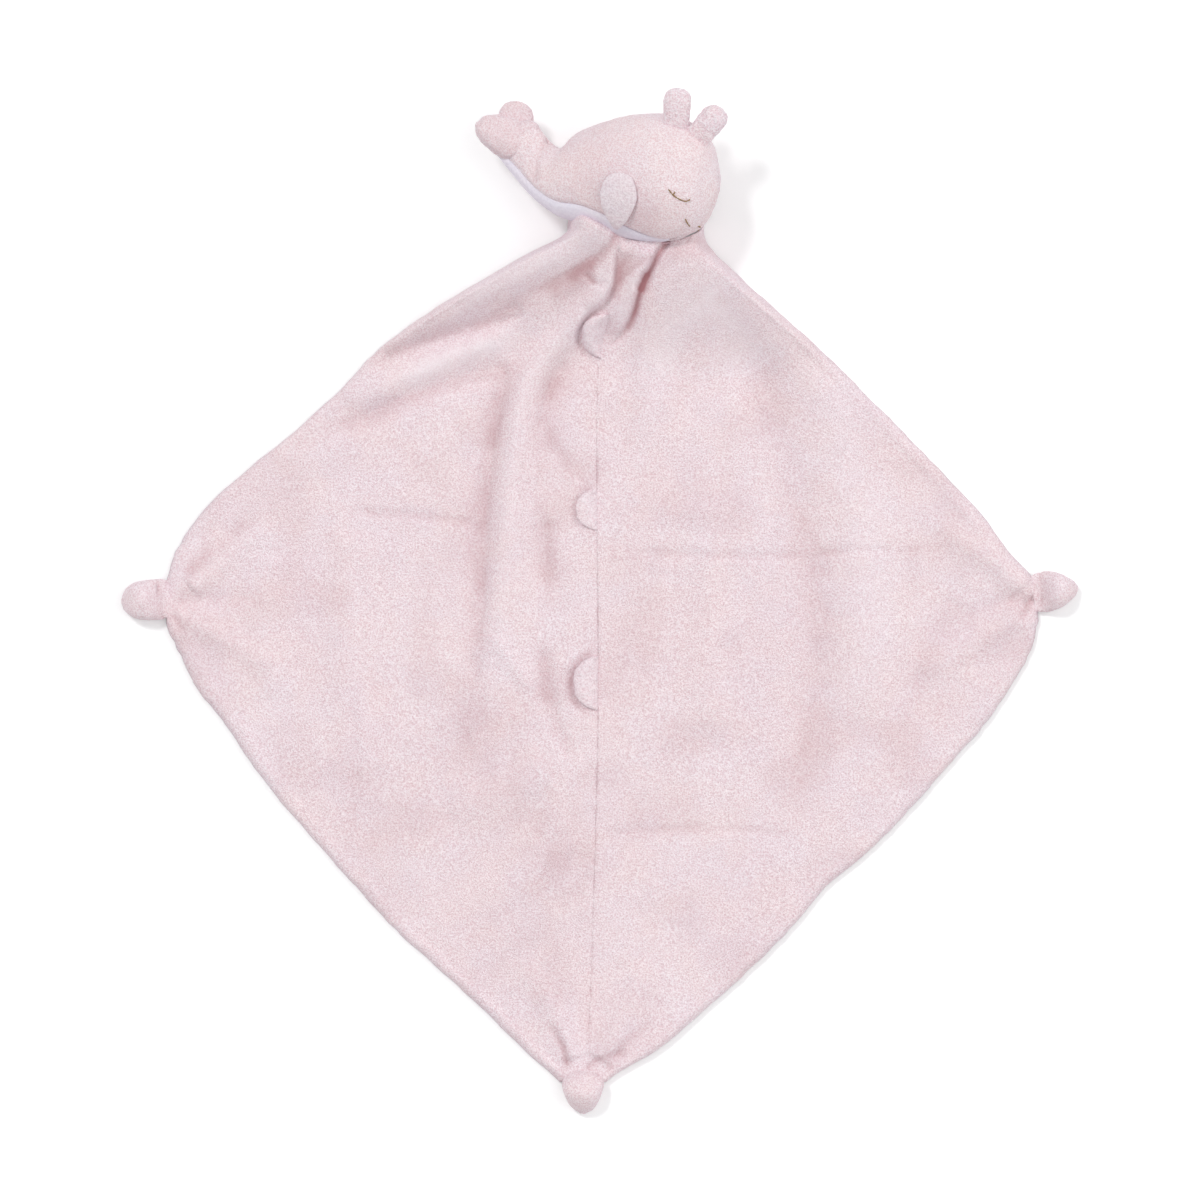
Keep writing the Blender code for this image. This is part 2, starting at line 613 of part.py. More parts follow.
# Skins, filling and stitches of the whale

SKIN_ROWS = np.concatenate([[SEAM_HOLE_SHARE, 1.0], np.linspace(2, SKIN_LAST_STATION, WHALE_ROWS)])
BELLY_HALF = np.interp(SKIN_ROWS, np.arange(len(BELLY_HALF_ANGLES)), BELLY_HALF_ANGLES)


def seam_inset(rows):
    """Half of the seam gap as an angle, in degrees, at each station."""
    girth = np.maximum(catmull_rom(STATIONS[:, 3:], rows).min(axis=1), PLUSH_WALL / 2)
    return np.degrees(SEAM_GAP / 2 / girth)


def wall_at(rows):
    """Thickness of the skin at each station, thinner where the whale itself is thin."""
    girth = catmull_rom(STATIONS[:, 3:], rows).min(axis=1)
    return np.minimum(PLUSH_WALL, girth * WALL_OF_GIRTH_SHARE)


def skin_panel(name, rows, start, end, columns, look):
    """A panel of the whale's skin between two angles, which change from row to row."""
    share = np.linspace(0, 1, columns)[None, :]
    angle = start[:, None] + (end - start)[:, None] * share
    station = np.repeat(rows[:, None], columns, axis=1)
    outer = on_whale(station, angle)
    wall = np.repeat(wall_at(rows)[:, None], columns, axis=1)
    inner = on_whale(station, angle, -wall)
    return shell_object(name, outer, inner, look)


def whale_body():
    """The two pink sides, the pale belly between them and the filling."""
    inset = seam_inset(SKIN_ROWS)
    pieces = []
    for name, side in (("whale_side_right", 1), ("whale_side_left", -1)):
        pieces.append(skin_panel(name, SKIN_ROWS, side * inset, side * (180 - BELLY_HALF - inset),
                                 SIDE_COLUMNS, PLUSH))
    belly = (SKIN_ROWS >= BELLY_FIRST_STATION) & (SKIN_ROWS <= BELLY_LAST_STATION)
    rows, half, gap = SKIN_ROWS[belly], BELLY_HALF[belly], inset[belly]
    pieces.append(skin_panel("whale_belly", rows, 180 - half + gap, 180 + half - gap,
                             BELLY_COLUMNS, VELOUR))
    rows = SKIN_ROWS[2:-2]
    turn = np.linspace(0, 360, STUFFING_COLUMNS, endpoint=False)
    station = np.repeat(rows[:, None], STUFFING_COLUMNS, axis=1)
    depth = np.repeat((wall_at(rows) + STUFFING_GAP)[:, None], STUFFING_COLUMNS, axis=1)
    rings = on_whale(station, np.broadcast_to(turn, station.shape), -depth)
    points, faces = ring_mesh(rings, rings[0].mean(axis=0), rings[-1].mean(axis=0))
    pieces.append(mesh_object("whale_stuffing", points, faces, FILL))
    return pieces


def stitches():
    """Sewn eyes on both sides and the smile under the nose."""
    eye = catmull_rom(EYE_PATH, np.linspace(0, len(EYE_PATH) - 1, EYE_POINTS))
    height = np.full(len(eye), LAYER_GAP + THREAD_DIAMETER / 2)
    pieces = [
        thread("eye_stitch_right", on_whale(eye[:, 0], eye[:, 1], height), EMBROIDERY),
        thread("eye_stitch_left", on_whale(eye[:, 0], -eye[:, 1], height), EMBROIDERY),
    ]
    half = np.array(MOUTH_PATH, dtype=float)
    other = np.column_stack([half[::-1][1:, 0], 360 - half[::-1][1:, 1]])
    smile = catmull_rom(np.vstack([half, other]), np.linspace(0, 2 * len(half) - 2, MOUTH_POINTS))
    height = np.full(len(smile), LAYER_GAP + THREAD_DIAMETER / 2)
    pieces.append(thread("mouth_stitch", on_whale(smile[:, 0], smile[:, 1], height), EMBROIDERY))
    return pieces


def fin(name, side, places):
    """A flat padded fin that lies against the whale's side, hinged along its root."""
    along = np.array([row[0] for row in FIN_SHARES])
    path = catmull_rom(places, along * (len(places) - 1))
    skin = on_whale(path[:, 0], side * path[:, 1])
    outward = whale_normal(path[:, 0], np.radians(side * path[:, 1]))
    direction = np.gradient(skin, axis=0)
    direction /= np.linalg.norm(direction, axis=1)[:, None]
    across = np.cross(outward, direction)
    centres = skin + outward * (RUNNING_GAP + FIN_THICKNESS / 2)
    piece = limb(name, centres, across, outward, FIN_WIDTH, FIN_THICKNESS, FIN_SHARES, FIN_CLOTH)
    root = centres[0] + direction[0] * FIN_THICKNESS / 2
    axis = -across[0] / np.linalg.norm(across[0])
    return piece, root, axis


def spout(name, place, direction):
    """One lobe of the water spout, standing on the crown."""
    skin = on_whale(np.array(place[0]), np.array(place[1]))
    outward = whale_normal(np.array(place[0]), np.radians(place[1]))
    root = skin + outward * RUNNING_GAP
    piece = straight_limb(name, root, direction, SPOUT_ROOT_DIRECTION, SPOUT_LENGTH, SPOUT_WIDTH,
                          SPOUT_THICKNESS, SPOUT_SHARES, PLUSH)
    pivot = root + np.array(direction) * SPOUT_THICKNESS * SPOUT_PIVOT_SHARE
    return piece, pivot


def tail_flukes():
    """The two rounded lobes of the tail on a round root, at the end of the whale's stem."""
    end = WHALE_CENTRE + catmull_rom(SPINE, np.array(SKIN_LAST_STATION))
    backward = -catmull_rom(FORWARD, np.array(SKIN_LAST_STATION))
    backward /= np.linalg.norm(backward)
    pivot = end + backward * (FLUKE_ROOT_DIAMETER / 2 + RUNNING_GAP)
    draft = bmesh.new()
    bmesh.ops.create_uvsphere(draft, u_segments=LIMB_SIDES, v_segments=LIMB_SIDES // 2,
                              radius=FLUKE_ROOT_DIAMETER / 2)
    bmesh.ops.translate(draft, verts=draft.verts, vec=Vector(pivot))
    mesh = bpy.data.meshes.new("tail_flukes")
    draft.to_mesh(mesh)
    draft.free()
    flukes = link("tail_flukes", mesh, PLUSH)
    lobes = (("right_lobe", RIGHT_FLUKE_DIRECTION), ("left_lobe", LEFT_FLUKE_DIRECTION))
    spread = LEFT_FLUKE_DIRECTION - RIGHT_FLUKE_DIRECTION
    for name, direction in lobes:
        start = Vector(pivot) - direction * FLUKE_ROOT_DIAMETER * FLUKE_SUNK_SHARE
        lobe = straight_limb(name, start, direction, spread, FLUKE_LENGTH, FLUKE_WIDTH,
                             FLUKE_THICKNESS, LEAF_SHARES, PLUSH)
        lobe.hide_render = True
        lobe.display_type = "WIRE"
        union = flukes.modifiers.new(name, "BOOLEAN")
        union.operation = "UNION"
        union.solver = "EXACT"
        union.object = lobe
    return flukes, pivot, spread.normalized()


# Tabs and knots

TABS = {
    "tab_top": dict(low=(600, 357), high=(608, 316), reach=TOP_TAB_REACH),
    "tab_middle": dict(low=(597, 528), high=(597, 490), reach=MIDDLE_TAB_REACH),
    "tab_bottom": dict(low=(598, 708), high=(598, 657), reach=BOTTOM_TAB_REACH),
}


def tab(name, low, high, reach):
    """A half-round tab sewn into the centre seam, lying over the left panel."""
    ends = from_photo([low, high])
    chord = ends[1] - ends[0]
    length = np.linalg.norm(chord)
    along = chord / length
    leftward = np.array([-along[1], along[0]])
    turn = np.linspace(0, np.pi, TAB_RIM_POINTS)
    radius_along = length / 2
    middle = ends.mean(axis=0)
    flat = middle + np.outer(-np.cos(turn) * radius_along, along) + np.outer(np.sin(turn) * reach, leftward)
    share = np.linspace(TAB_SEAM_SHARE, 1, TAB_REST_ROWS)[:, None, None]
    under = middle + (flat[None] - middle) * share
    seam_x = line_x(SEAM_LINE, under[..., 1])
    edge_x = line_x(LEFT_EDGE, under[..., 1])
    rest = cloth_top(under[..., 0], under[..., 1], np.abs(edge_x - under[..., 0]),
                     np.abs(under[..., 0] - seam_x), LEFT_FOLDS) + RUNNING_GAP
    root = np.array([(1 - t) * ends[0] + t * ends[1] for t in (0.0, 0.5, 1.0)])
    at_root = cloth_top(root[:, 0], root[:, 1], np.abs(line_x(LEFT_EDGE, root[:, 1]) - root[:, 0]),
                        np.zeros(3), LEFT_FOLDS) + RUNNING_GAP
    climb = (at_root[2] - at_root[0]) / length
    base = at_root[0] + max(0.0, at_root[1] - (at_root[0] + at_root[2]) / 2)
    run = (under - ends[0]) @ along
    out = (under - ends[0]) @ leftward
    needed = (rest - base - climb * run) / np.maximum(out, TAB_THICKNESS)
    slope = needed[out > TAB_THICKNESS].max()
    outline_run = (flat - ends[0]) @ along
    outline_out = (flat - ends[0]) @ leftward
    low_z = base + climb * outline_run + slope * outline_out
    draft = bmesh.new()
    rim = [draft.verts.new((p[0], p[1], z)) for p, z in zip(flat, low_z)]
    face = draft.faces.new(rim)
    lifted = bmesh.ops.extrude_face_region(draft, geom=[face])
    rising = [item for item in lifted["geom"] if isinstance(item, bmesh.types.BMVert)]
    bmesh.ops.translate(draft, verts=rising, vec=(0, 0, TAB_THICKNESS))
    bmesh.ops.recalc_face_normals(draft, faces=draft.faces)
    mesh = bpy.data.meshes.new(name)
    draft.to_mesh(mesh)
    draft.free()
    piece = link(name, mesh, PLUSH)
    edge = piece.modifiers.new("soft_edge", "BEVEL")
    edge.width = TAB_BEVEL
    edge.segments = 1
    edge.limit_method = "ANGLE"
    z_middle = base + climb * length / 2 + TAB_THICKNESS / 2
    pivot = (middle[0], middle[1], z_middle)
    axis = Vector((chord[0], chord[1], climb * length)).normalized()
    return piece, pivot, axis


KNOTS = {
    "corner_knot_left": dict(crease=(166, 601), outward=(-1, 0), length=LEFT_KNOT_LENGTH,
                             width=LEFT_KNOT_WIDTH, shares=ROUND_KNOT_SHARES),
    "corner_knot_right": dict(crease=(1039, 591), outward=(1, 0), length=RIGHT_KNOT_LENGTH,
                              width=RIGHT_KNOT_WIDTH, shares=POINTED_KNOT_SHARES),
    "corner_knot_bottom": dict(crease=(584, 1076), outward=(0, -1), length=BOTTOM_KNOT_LENGTH,
                               width=BOTTOM_KNOT_WIDTH, shares=ROUND_KNOT_SHARES),
}


def knot(name, crease, outward, length, width, shares):
    """A corner of the cloth rolled into a knot, beyond the crease that ties it."""
    shares = np.array(shares)
    direction = np.array([*outward, 0.0])
    across = np.array([-outward[1], outward[0], 0.0])
    upward = np.array([0.0, 0.0, 1.0])
    height = LAYER_GAP + np.maximum(shares[:, 2] * KNOT_THICKNESS, KNOT_ROOT_DIAMETER) / 2
    start = np.array([*from_photo(crease), 0.0]) + direction * RUNNING_GAP
    centres = start + shares[:, :1] * length * direction + height[:, None] * upward
    ones = np.ones((len(shares), 1))
    piece = limb(name, centres, ones * across, ones * upward, width, KNOT_THICKNESS, shares, PLUSH)
    pivot = centres[0] + direction * KNOT_ROOT_DIAMETER / 2
    axis = np.cross(direction, upward)
    return piece, pivot, axis


def report_joint(name, pivot, axis):
    """Prints a joint's place and axis."""
    print("joint", name, [round(float(v), 5) for v in pivot], [round(float(v), 4) for v in axis])


def build():
    """Makes every piece of the comfort blanket."""
    back_panel()
    front_panel("blanket_front_left", LEFT_EDGE, LEFT_FOLDS, -1)
    front_panel("blanket_front_right", RIGHT_EDGE, RIGHT_FOLDS, 1)
    seam_thread()
    neck_thread()
    whale_body()
    stitches()
    report_joint("whale_tilt", TILT_AXIS_POINT, (1, 0, 0))
    for name, side, places in (("fin_right", 1, RIGHT_FIN_PATH), ("fin_left", -1, LEFT_FIN_PATH)):
        piece, pivot, axis = fin(name, side, places)
        set_origin(piece, pivot)
        report_joint(name, pivot, axis)
    spouts = (("spout_right", RIGHT_SPOUT_PLACE, RIGHT_SPOUT_DIRECTION),
              ("spout_left", LEFT_SPOUT_PLACE, LEFT_SPOUT_DIRECTION))
    for name, place, direction in spouts:
        piece, pivot = spout(name, place, direction)
        set_origin(piece, pivot)
        report_joint(name, pivot, SPOUT_ROOT_DIRECTION)
    piece, pivot, axis = tail_flukes()
    report_joint("tail_flukes", pivot, axis)
    for name, sizes in TABS.items():
        piece, pivot, axis = tab(name, **sizes)
        set_origin(piece, pivot)
        report_joint(name, pivot, axis)
    for name, sizes in KNOTS.items():
        piece, pivot, axis = knot(name, **sizes)
        set_origin(piece, pivot)
        report_joint(name, pivot, axis)
    lowest = BODY_SAMPLES.min(axis=0)
    highest = BODY_SAMPLES.max(axis=0)
    print("whale from", np.round(lowest, 4), "to", np.round(highest, 4))


build()
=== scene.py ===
# %% [markdown]
# # A plush whale comfort blanket
# A comfort blanket is a square of soft two-layer plush that a baby can hold. One corner is gathered
# under the belly of a small stuffed whale, the other three corners end in knots, and three small
# tabs are sewn into the seam down the middle. It lies flat here and is seen from straight above.
# The solids of the part are loaded first as the frame, so that every cloth piece made below moves
# with the body that it belongs to.

import json

import bpy
import numpy as np
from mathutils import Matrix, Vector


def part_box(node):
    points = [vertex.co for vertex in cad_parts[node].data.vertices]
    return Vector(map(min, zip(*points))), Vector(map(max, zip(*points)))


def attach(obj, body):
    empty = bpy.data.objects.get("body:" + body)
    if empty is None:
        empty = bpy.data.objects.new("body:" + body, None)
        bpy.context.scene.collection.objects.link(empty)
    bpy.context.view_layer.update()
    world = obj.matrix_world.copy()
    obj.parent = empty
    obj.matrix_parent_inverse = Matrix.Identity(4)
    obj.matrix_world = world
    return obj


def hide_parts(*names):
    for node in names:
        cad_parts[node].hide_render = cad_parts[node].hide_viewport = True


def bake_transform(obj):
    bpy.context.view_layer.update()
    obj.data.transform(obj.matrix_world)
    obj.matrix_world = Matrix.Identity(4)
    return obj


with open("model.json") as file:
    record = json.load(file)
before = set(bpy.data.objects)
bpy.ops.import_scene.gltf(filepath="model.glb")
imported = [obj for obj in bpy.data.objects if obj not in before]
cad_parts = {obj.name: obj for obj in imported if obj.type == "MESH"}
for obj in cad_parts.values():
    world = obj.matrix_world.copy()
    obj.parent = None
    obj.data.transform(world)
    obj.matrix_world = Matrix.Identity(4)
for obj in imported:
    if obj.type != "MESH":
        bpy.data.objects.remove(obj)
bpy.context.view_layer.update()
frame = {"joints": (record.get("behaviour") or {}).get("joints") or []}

# %% [markdown]
# ## A ruler and smooth lines
# Places are read off the photograph in pixels and turned into metres at one scale. A line through
# such places would have corners, so it is passed through a Catmull-Rom curve, which goes through
# every point and leaves each one in the direction of its neighbours.

# %% The ruler
METRES_PER_PIXEL = 0.0005
PHOTO_MIDDLE = 600.0


def from_photo(pixels):
    """Metres for photo pixels: x to the right and y up, both from the middle of the picture."""
    pixels = np.asarray(pixels, dtype=float)
    across, up = pixels[..., 0] - PHOTO_MIDDLE, PHOTO_MIDDLE - pixels[..., 1]
    return np.stack([across, up], axis=-1) * METRES_PER_PIXEL


print("one pixel is", METRES_PER_PIXEL * 1000, "mm")


# %% Smooth lines
def smooth_through(rows, place):
    """Catmull-Rom: a cubic from each row to the next, leaving along (next - last) / 2."""
    rows = np.asarray(rows, dtype=float)
    place = np.clip(np.asarray(place, dtype=float), 0, len(rows) - 1)
    index = np.minimum(place.astype(int), len(rows) - 2)
    t = (place - index)[..., None]
    start, end = rows[index], rows[index + 1]
    leaving = (end - rows[np.maximum(index - 1, 0)]) / 2
    arriving = (rows[np.minimum(index + 2, len(rows) - 1)] - start) / 2
    return (start + leaving * t + (3 * (end - start) - 2 * leaving - arriving) * t**2
            + (leaving + arriving - 2 * (end - start)) * t**3)


def soft_line(pixels, count):
    """Points of a smooth line through places in the photo, in metres."""
    return smooth_through(from_photo(pixels), np.linspace(0, len(pixels) - 1, count))


def ease(value):
    """0 below 0 and 1 above 1, with the smooth climb 3t^2 - 2t^3 between."""
    value = np.clip(value, 0, 1)
    return value * value * (3 - 2 * value)


print("halfway up a smooth climb is", ease(0.5))


# %% Steps, turns and directions
def x_at(line, y):
    """Where a line that climbs the picture is at the heights y."""
    return np.interp(y, line[:, 1], line[:, 0])


def bunched(count):
    """Steps from 0 to 1 that lie closer together near both ends: (1 - cos(pi * t)) / 2."""
    return (1 - np.cos(np.pi * np.linspace(0, 1, count))) / 2


def full_turn(count):
    """Angles once round, the last one left out because it is the first again."""
    return np.linspace(0, 2 * np.pi, count, endpoint=False)


def unit(vectors):
    """Vectors divided by their own lengths."""
    return vectors / np.maximum(np.linalg.norm(vectors, axis=-1, keepdims=True), 1e-12)


def levelled(values, reach):
    """Every value replaced by the mean of those up to that many places away."""
    return np.convolve(np.pad(values, reach, mode="edge"), np.ones(2 * reach + 1) / (2 * reach + 1), mode="valid")


print("five bunched steps", bunched(5).round(3).tolist())


# %% Uneven pile
def lumps(points, size, seed=0):
    """Uneven heights from -1 to 1: scrambled whole numbers at the corners of a lattice of that size, eased
    between. The large numbers only scramble the corner's place, and the seed gives another pattern."""
    place = np.asarray(points) / size + 100.0
    cell = np.floor(place).astype(np.int64)
    inside = place - cell
    inside = inside * inside * (3 - 2 * inside)
    total = np.zeros(place.shape[:-1])
    for corner in np.ndindex(2, 2, 2):
        at = cell + np.array(corner)
        mixed = (at[..., 0] * 73856093) ^ (at[..., 1] * 19349663) ^ (at[..., 2] * 83492791)
        mixed = mixed ^ (seed * 26699)
        mixed = ((mixed ^ (mixed >> 13)) * 12741261) & 0xFFFFFF
        height = ((mixed ^ (mixed >> 11)) & 0xFFFF) / 32767.5 - 1
        total += height * np.prod(np.where(corner, inside, 1 - inside), axis=-1)
    return total


print("lumps from", lumps(np.eye(3), 0.1).min().round(2), "to", lumps(np.eye(3), 0.1).max().round(2))

# %% [markdown]
# ## From grids of points to meshes
# Every soft piece is a grid of points that a formula gives. Two grids, an outer and an inner one, make
# a skin with a thickness, and rings in a row make a stuffed limb. The faces are index arrays, so a
# hundred thousand of them are made at once. The signed volume tells whether they point outwards.


# %% Mesh helpers
def in_scene(name, data):
    """An object at the origin that holds a mesh, a lamp or a camera."""
    thing = bpy.data.objects.new(name, data)
    bpy.context.scene.collection.objects.link(thing)
    return thing


def make_piece(name, points, quads, triangles, look, tone_and_painted_light=None):
    """A closed mesh with faces turned outwards: its signed volume, the sum of a . (b x c) / 6, is positive."""
    quads = np.asarray(quads).reshape(-1, 4)
    triangles = np.asarray(triangles, dtype=int).reshape(-1, 3)
    every = np.vstack([quads[:, [0, 1, 2]], quads[:, [0, 2, 3]], triangles])
    a, b, c = points[every[:, 0]], points[every[:, 1]], points[every[:, 2]]
    if np.sum(a * np.cross(b, c)) < 0:
        quads, triangles = quads[:, ::-1], triangles[:, ::-1]
    mesh = bpy.data.meshes.new(name)
    corners = np.concatenate([quads.ravel(), triangles.ravel()]).astype(np.int32)
    starts = np.concatenate([np.arange(len(quads)) * 4, len(quads) * 4 + np.arange(len(triangles)) * 3])
    mesh.vertices.add(len(points))
    mesh.vertices.foreach_set("co", points.astype(np.float32).ravel())
    mesh.loops.add(len(corners))
    mesh.loops.foreach_set("vertex_index", corners)
    mesh.polygons.add(len(starts))
    mesh.polygons.foreach_set("loop_start", starts.astype(np.int32))
    mesh.update(calc_edges=True)
    mesh.shade_smooth()
    amount = np.zeros(len(points)) if tone_and_painted_light is None else tone_and_painted_light
    mesh.attributes.new("tone_and_painted_light", "FLOAT", "POINT").data.foreach_set("value", amount.astype(np.float32))
    mesh.materials.append(look)
    print(name, len(every), "triangles")
    return in_scene(name, mesh)


print("meshes of the frame", len(bpy.data.meshes))


# %% Faces of a grid
def grid_quads(rows, columns, start=0):
    """Quads of a grid of points, row after row."""
    a = start + np.arange(rows - 1)[:, None] * columns + np.arange(columns - 1)[None, :]
    return np.stack([a, a + 1, a + columns + 1, a + columns], axis=-1).reshape(-1, 4)


def grid_rim(rows, columns, start=0):
    """The border of a grid, once round."""
    index = start + np.arange(rows * columns).reshape(rows, columns)
    return np.concatenate([index[0], index[1:, -1], index[-1, -2::-1], index[-2:0:-1, 0]])


print("a grid of 4 x 5 points has", len(grid_quads(4, 5)), "faces and", len(grid_rim(4, 5)), "points round it")


# %% Skins, sheets and limbs
def skin_piece(name, outer, inner, look, tone_and_painted_light=None):
    """A skin between two grids with as many points, closed round the border."""
    rows, columns = outer.shape[:2]
    count = rows * columns
    rim, back = grid_rim(rows, columns), grid_rim(rows, columns, count)
    band = np.stack([rim, np.roll(rim, -1), np.roll(back, -1), back], axis=-1)
    quads = np.vstack([grid_quads(rows, columns), grid_quads(rows, columns, count)[:, ::-1], band[:, ::-1]])
    points = np.vstack([outer.reshape(-1, 3), inner.reshape(-1, 3)])
    tint = None if tone_and_painted_light is None else np.concatenate([tone_and_painted_light.ravel(), tone_and_painted_light.ravel()])
    return make_piece(name, points, quads, [], look, tint)


def sheet_piece(name, top, under, look, tone_and_painted_light):
    """A cloth: a fine grid on top and every second point of it below, joined round the border."""
    rows, columns = top.shape[:2]
    count, few = rows * columns, under.shape[:2]
    rim, back = grid_rim(rows, columns), grid_rim(few[0], few[1], count)
    a, b, c = rim[0::2], rim[1::2], np.roll(rim, -2)[0::2]
    after = np.roll(back, -1)
    band = np.vstack([np.stack([b, a, back], -1), np.stack([b, back, after], -1), np.stack([c, b, after], -1)])
    quads = np.vstack([grid_quads(rows, columns), grid_quads(few[0], few[1], count)[:, ::-1]])
    points = np.vstack([top.reshape(-1, 3), under.reshape(-1, 3)])
    tint = np.concatenate([tone_and_painted_light.ravel(), tone_and_painted_light[::2, ::2].ravel()])
    return make_piece(name, points, quads, band, look, tint)


def limb_piece(name, rings, look, tone_and_painted_light=None):
    """A limb: rings of points joined in a row, the first and last ring closed to their middles."""
    count, sides = rings.shape[:2]
    ring = np.arange(count - 1)[:, None] * sides
    side, after = np.arange(sides), np.roll(np.arange(sides), -1)
    quads = np.stack([ring + side, ring + after, ring + after + sides, ring + side + sides], -1).reshape(-1, 4)
    first, last = count * sides, count * sides + 1
    start = np.stack([np.full(sides, first), after, side], -1)
    end = np.stack([np.full(sides, last), (count - 1) * sides + side, (count - 1) * sides + after], -1)
    points = np.vstack([rings.reshape(-1, 3), rings[0].mean(0), rings[-1].mean(0)])
    tint = None if tone_and_painted_light is None else np.append(tone_and_painted_light.ravel(), [tone_and_painted_light[0].mean(), tone_and_painted_light[-1].mean()])
    return make_piece(name, points, quads, np.vstack([start, end]), look, tint)


def ring_normals(rings):
    """Outward directions of rings: the cross product of the slope round each ring and the slope along."""
    round_it = np.roll(rings, -1, axis=1) - np.roll(rings, 1, axis=1)
    normal = unit(np.cross(round_it, np.gradient(rings, axis=0)))
    outward = np.sum(normal * (rings - rings.mean(axis=1, keepdims=True)), axis=-1).mean()
    return normal if outward > 0 else -normal


tube = np.stack([[(np.cos(a), np.sin(a), z) for a in full_turn(8)] for z in range(3)])
print("a tube's first outward direction", ring_normals(tube)[1, 0].round(2).tolist())

# %% [markdown]
# ## The plush
# Short plush reads as near-white tips over a rosier ground, with tiny specks where the pile parts. One
# noise at the size of a tuft picks the colour between ground and tip and also drives the bump, so that
# light and relief agree. A finer noise adds the specks, and wide ones let the hue wander from rosy cream to
# lavender, as it does on napped cloth under a window. A vertex attribute paints shade and light: above
# zero it darkens towards the crease colour as painted shade in creases, valleys, seams and beside the fin,
# with some random patches and a little real pile parting in it, and below zero it lightens towards the tip
# colour as a painted highlight. Sheen gives the pale rim that a napped cloth shows at a glancing angle.


# %% Material helpers
def linear(red, green, blue):
    """Colour in linear light for the 0 to 255 values that a picture shows."""
    shown = np.array([red, green, blue]) / 255
    light = np.where(shown <= 0.04045, shown / 12.92, ((shown + 0.055) / 1.055) ** 2.4)
    return (*light.tolist(), 1.0)


def new_material(name):
    """A material, its node tree and its shader."""
    made = bpy.data.materials.new(name)
    made.use_nodes = True
    return made, made.node_tree, made.node_tree.nodes["Principled BSDF"]


def noise_node(tree, place, size, detail, twist=0.0):
    """A noise whose blobs have that size in metres."""
    noise = tree.nodes.new("ShaderNodeTexNoise")
    noise.inputs["Scale"].default_value = 0.5 / size
    noise.inputs["Detail"].default_value = detail
    noise.inputs["Distortion"].default_value = twist
    tree.links.new(place.outputs["Object"], noise.inputs["Vector"])
    return noise.outputs["Fac"]


print("a mid grey is", round(linear(128, 128, 128)[0], 3), "in linear light")


# %% Node helpers
def connect(tree, value, socket):
    """A number or a colour is written on the socket, and another socket is linked to it."""
    if isinstance(value, (float, tuple)):
        socket.default_value = value
    else:
        tree.links.new(value, socket)


def worked_out(tree, operation, first, second):
    """Two values added, multiplied or compared; each is a number or a socket."""
    node = tree.nodes.new("ShaderNodeMath")
    node.operation = operation
    connect(tree, first, node.inputs[0])
    connect(tree, second, node.inputs[1])
    return node.outputs[0]


def stretched(tree, value, low, high):
    """A value spread from low..high to 0..1 and clamped."""
    spread = tree.nodes.new("ShaderNodeMapRange")
    spread.inputs["From Min"].default_value = low
    spread.inputs["From Max"].default_value = high
    tree.links.new(value, spread.inputs["Value"])
    return spread.outputs["Result"]


def blended(tree, share, first, second, how="MIX"):
    """Two colours mixed by a share; each is a colour or a socket."""
    mix = tree.nodes.new("ShaderNodeMix")
    mix.data_type = "RGBA"
    mix.blend_type = how
    for index, value in ((0, share), (6, first), (7, second)):
        connect(tree, value, mix.inputs[index])
    return mix.outputs[2]


print("materials of the frame", len(bpy.data.materials))

# %% The plush material
WHITE = (1.0, 1.0, 1.0, 1.0)
LAVENDER_CAST, CREAM_CAST = (0.985, 0.992, 1.0, 1.0), (1.0, 0.988, 0.974, 1.0)
ROSY_CAST = (0.978, 0.960, 0.964, 1.0)
HUE_PATCH, ROSY_PATCH = 0.0090, 0.0300


def plush(name, tip, ground, crease, tuft, relief, specks, sheen):
    """A napped cloth, from its three colours, its tuft size and relief in metres, and how much speck and
    sheen it has: ground to tip by the tufts, then specks, wandering hue, and the painted shade and light of the
    mesh."""
    made, tree, shader = new_material(name)
    place = tree.nodes.new("ShaderNodeTexCoord")
    tufts = noise_node(tree, place, tuft, 2.0, 0.3)
    fine = noise_node(tree, place, tuft * 0.6, 1.0)
    colour = blended(tree, stretched(tree, tufts, 0.34, 0.62), ground, tip)
    parted = worked_out(tree, "MULTIPLY", stretched(tree, fine, 0.60, 0.78), specks)
    colour = blended(tree, parted, colour, crease)
    wander = stretched(tree, noise_node(tree, place, HUE_PATCH, 3.0), 0.36, 0.64)
    colour = blended(tree, 1.0, colour, blended(tree, wander, LAVENDER_CAST, CREAM_CAST), "MULTIPLY")
    shade = stretched(tree, noise_node(tree, place, ROSY_PATCH, 2.0), 0.35, 0.65)
    colour = blended(tree, 1.0, colour, blended(tree, shade, WHITE, ROSY_CAST), "MULTIPLY")
    tint = tree.nodes.new("ShaderNodeAttribute")
    tint.attribute_name = "tone_and_painted_light"
    # Painted shade and light: the mesh attribute darkens towards the crease colour above zero and lightens
    # towards the tip colour below zero.
    colour = blended(tree, tint.outputs["Fac"], colour, crease)
    colour = blended(tree, stretched(tree, tint.outputs["Fac"], 0.0, -1.5), colour, tip)
    tree.links.new(colour, shader.inputs["Base Color"])
    bump = tree.nodes.new("ShaderNodeBump")
    bump.inputs["Strength"].default_value = 0.8
    bump.inputs["Distance"].default_value = relief
    tree.links.new(worked_out(tree, "ADD", tufts, fine), bump.inputs["Height"])
    tree.links.new(bump.outputs["Normal"], shader.inputs["Normal"])
    shader.inputs["Roughness"].default_value = 0.95
    shader.inputs["Specular IOR Level"].default_value = 0.15
    shader.inputs["Sheen Weight"].default_value = sheen
    shader.inputs["Sheen Roughness"].default_value = 0.45
    shader.inputs["Sheen Tint"].default_value = linear(236, 230, 246)
    return made


print("hue wanders over", HUE_PATCH * 1000, "mm and", ROSY_PATCH * 1000, "mm")

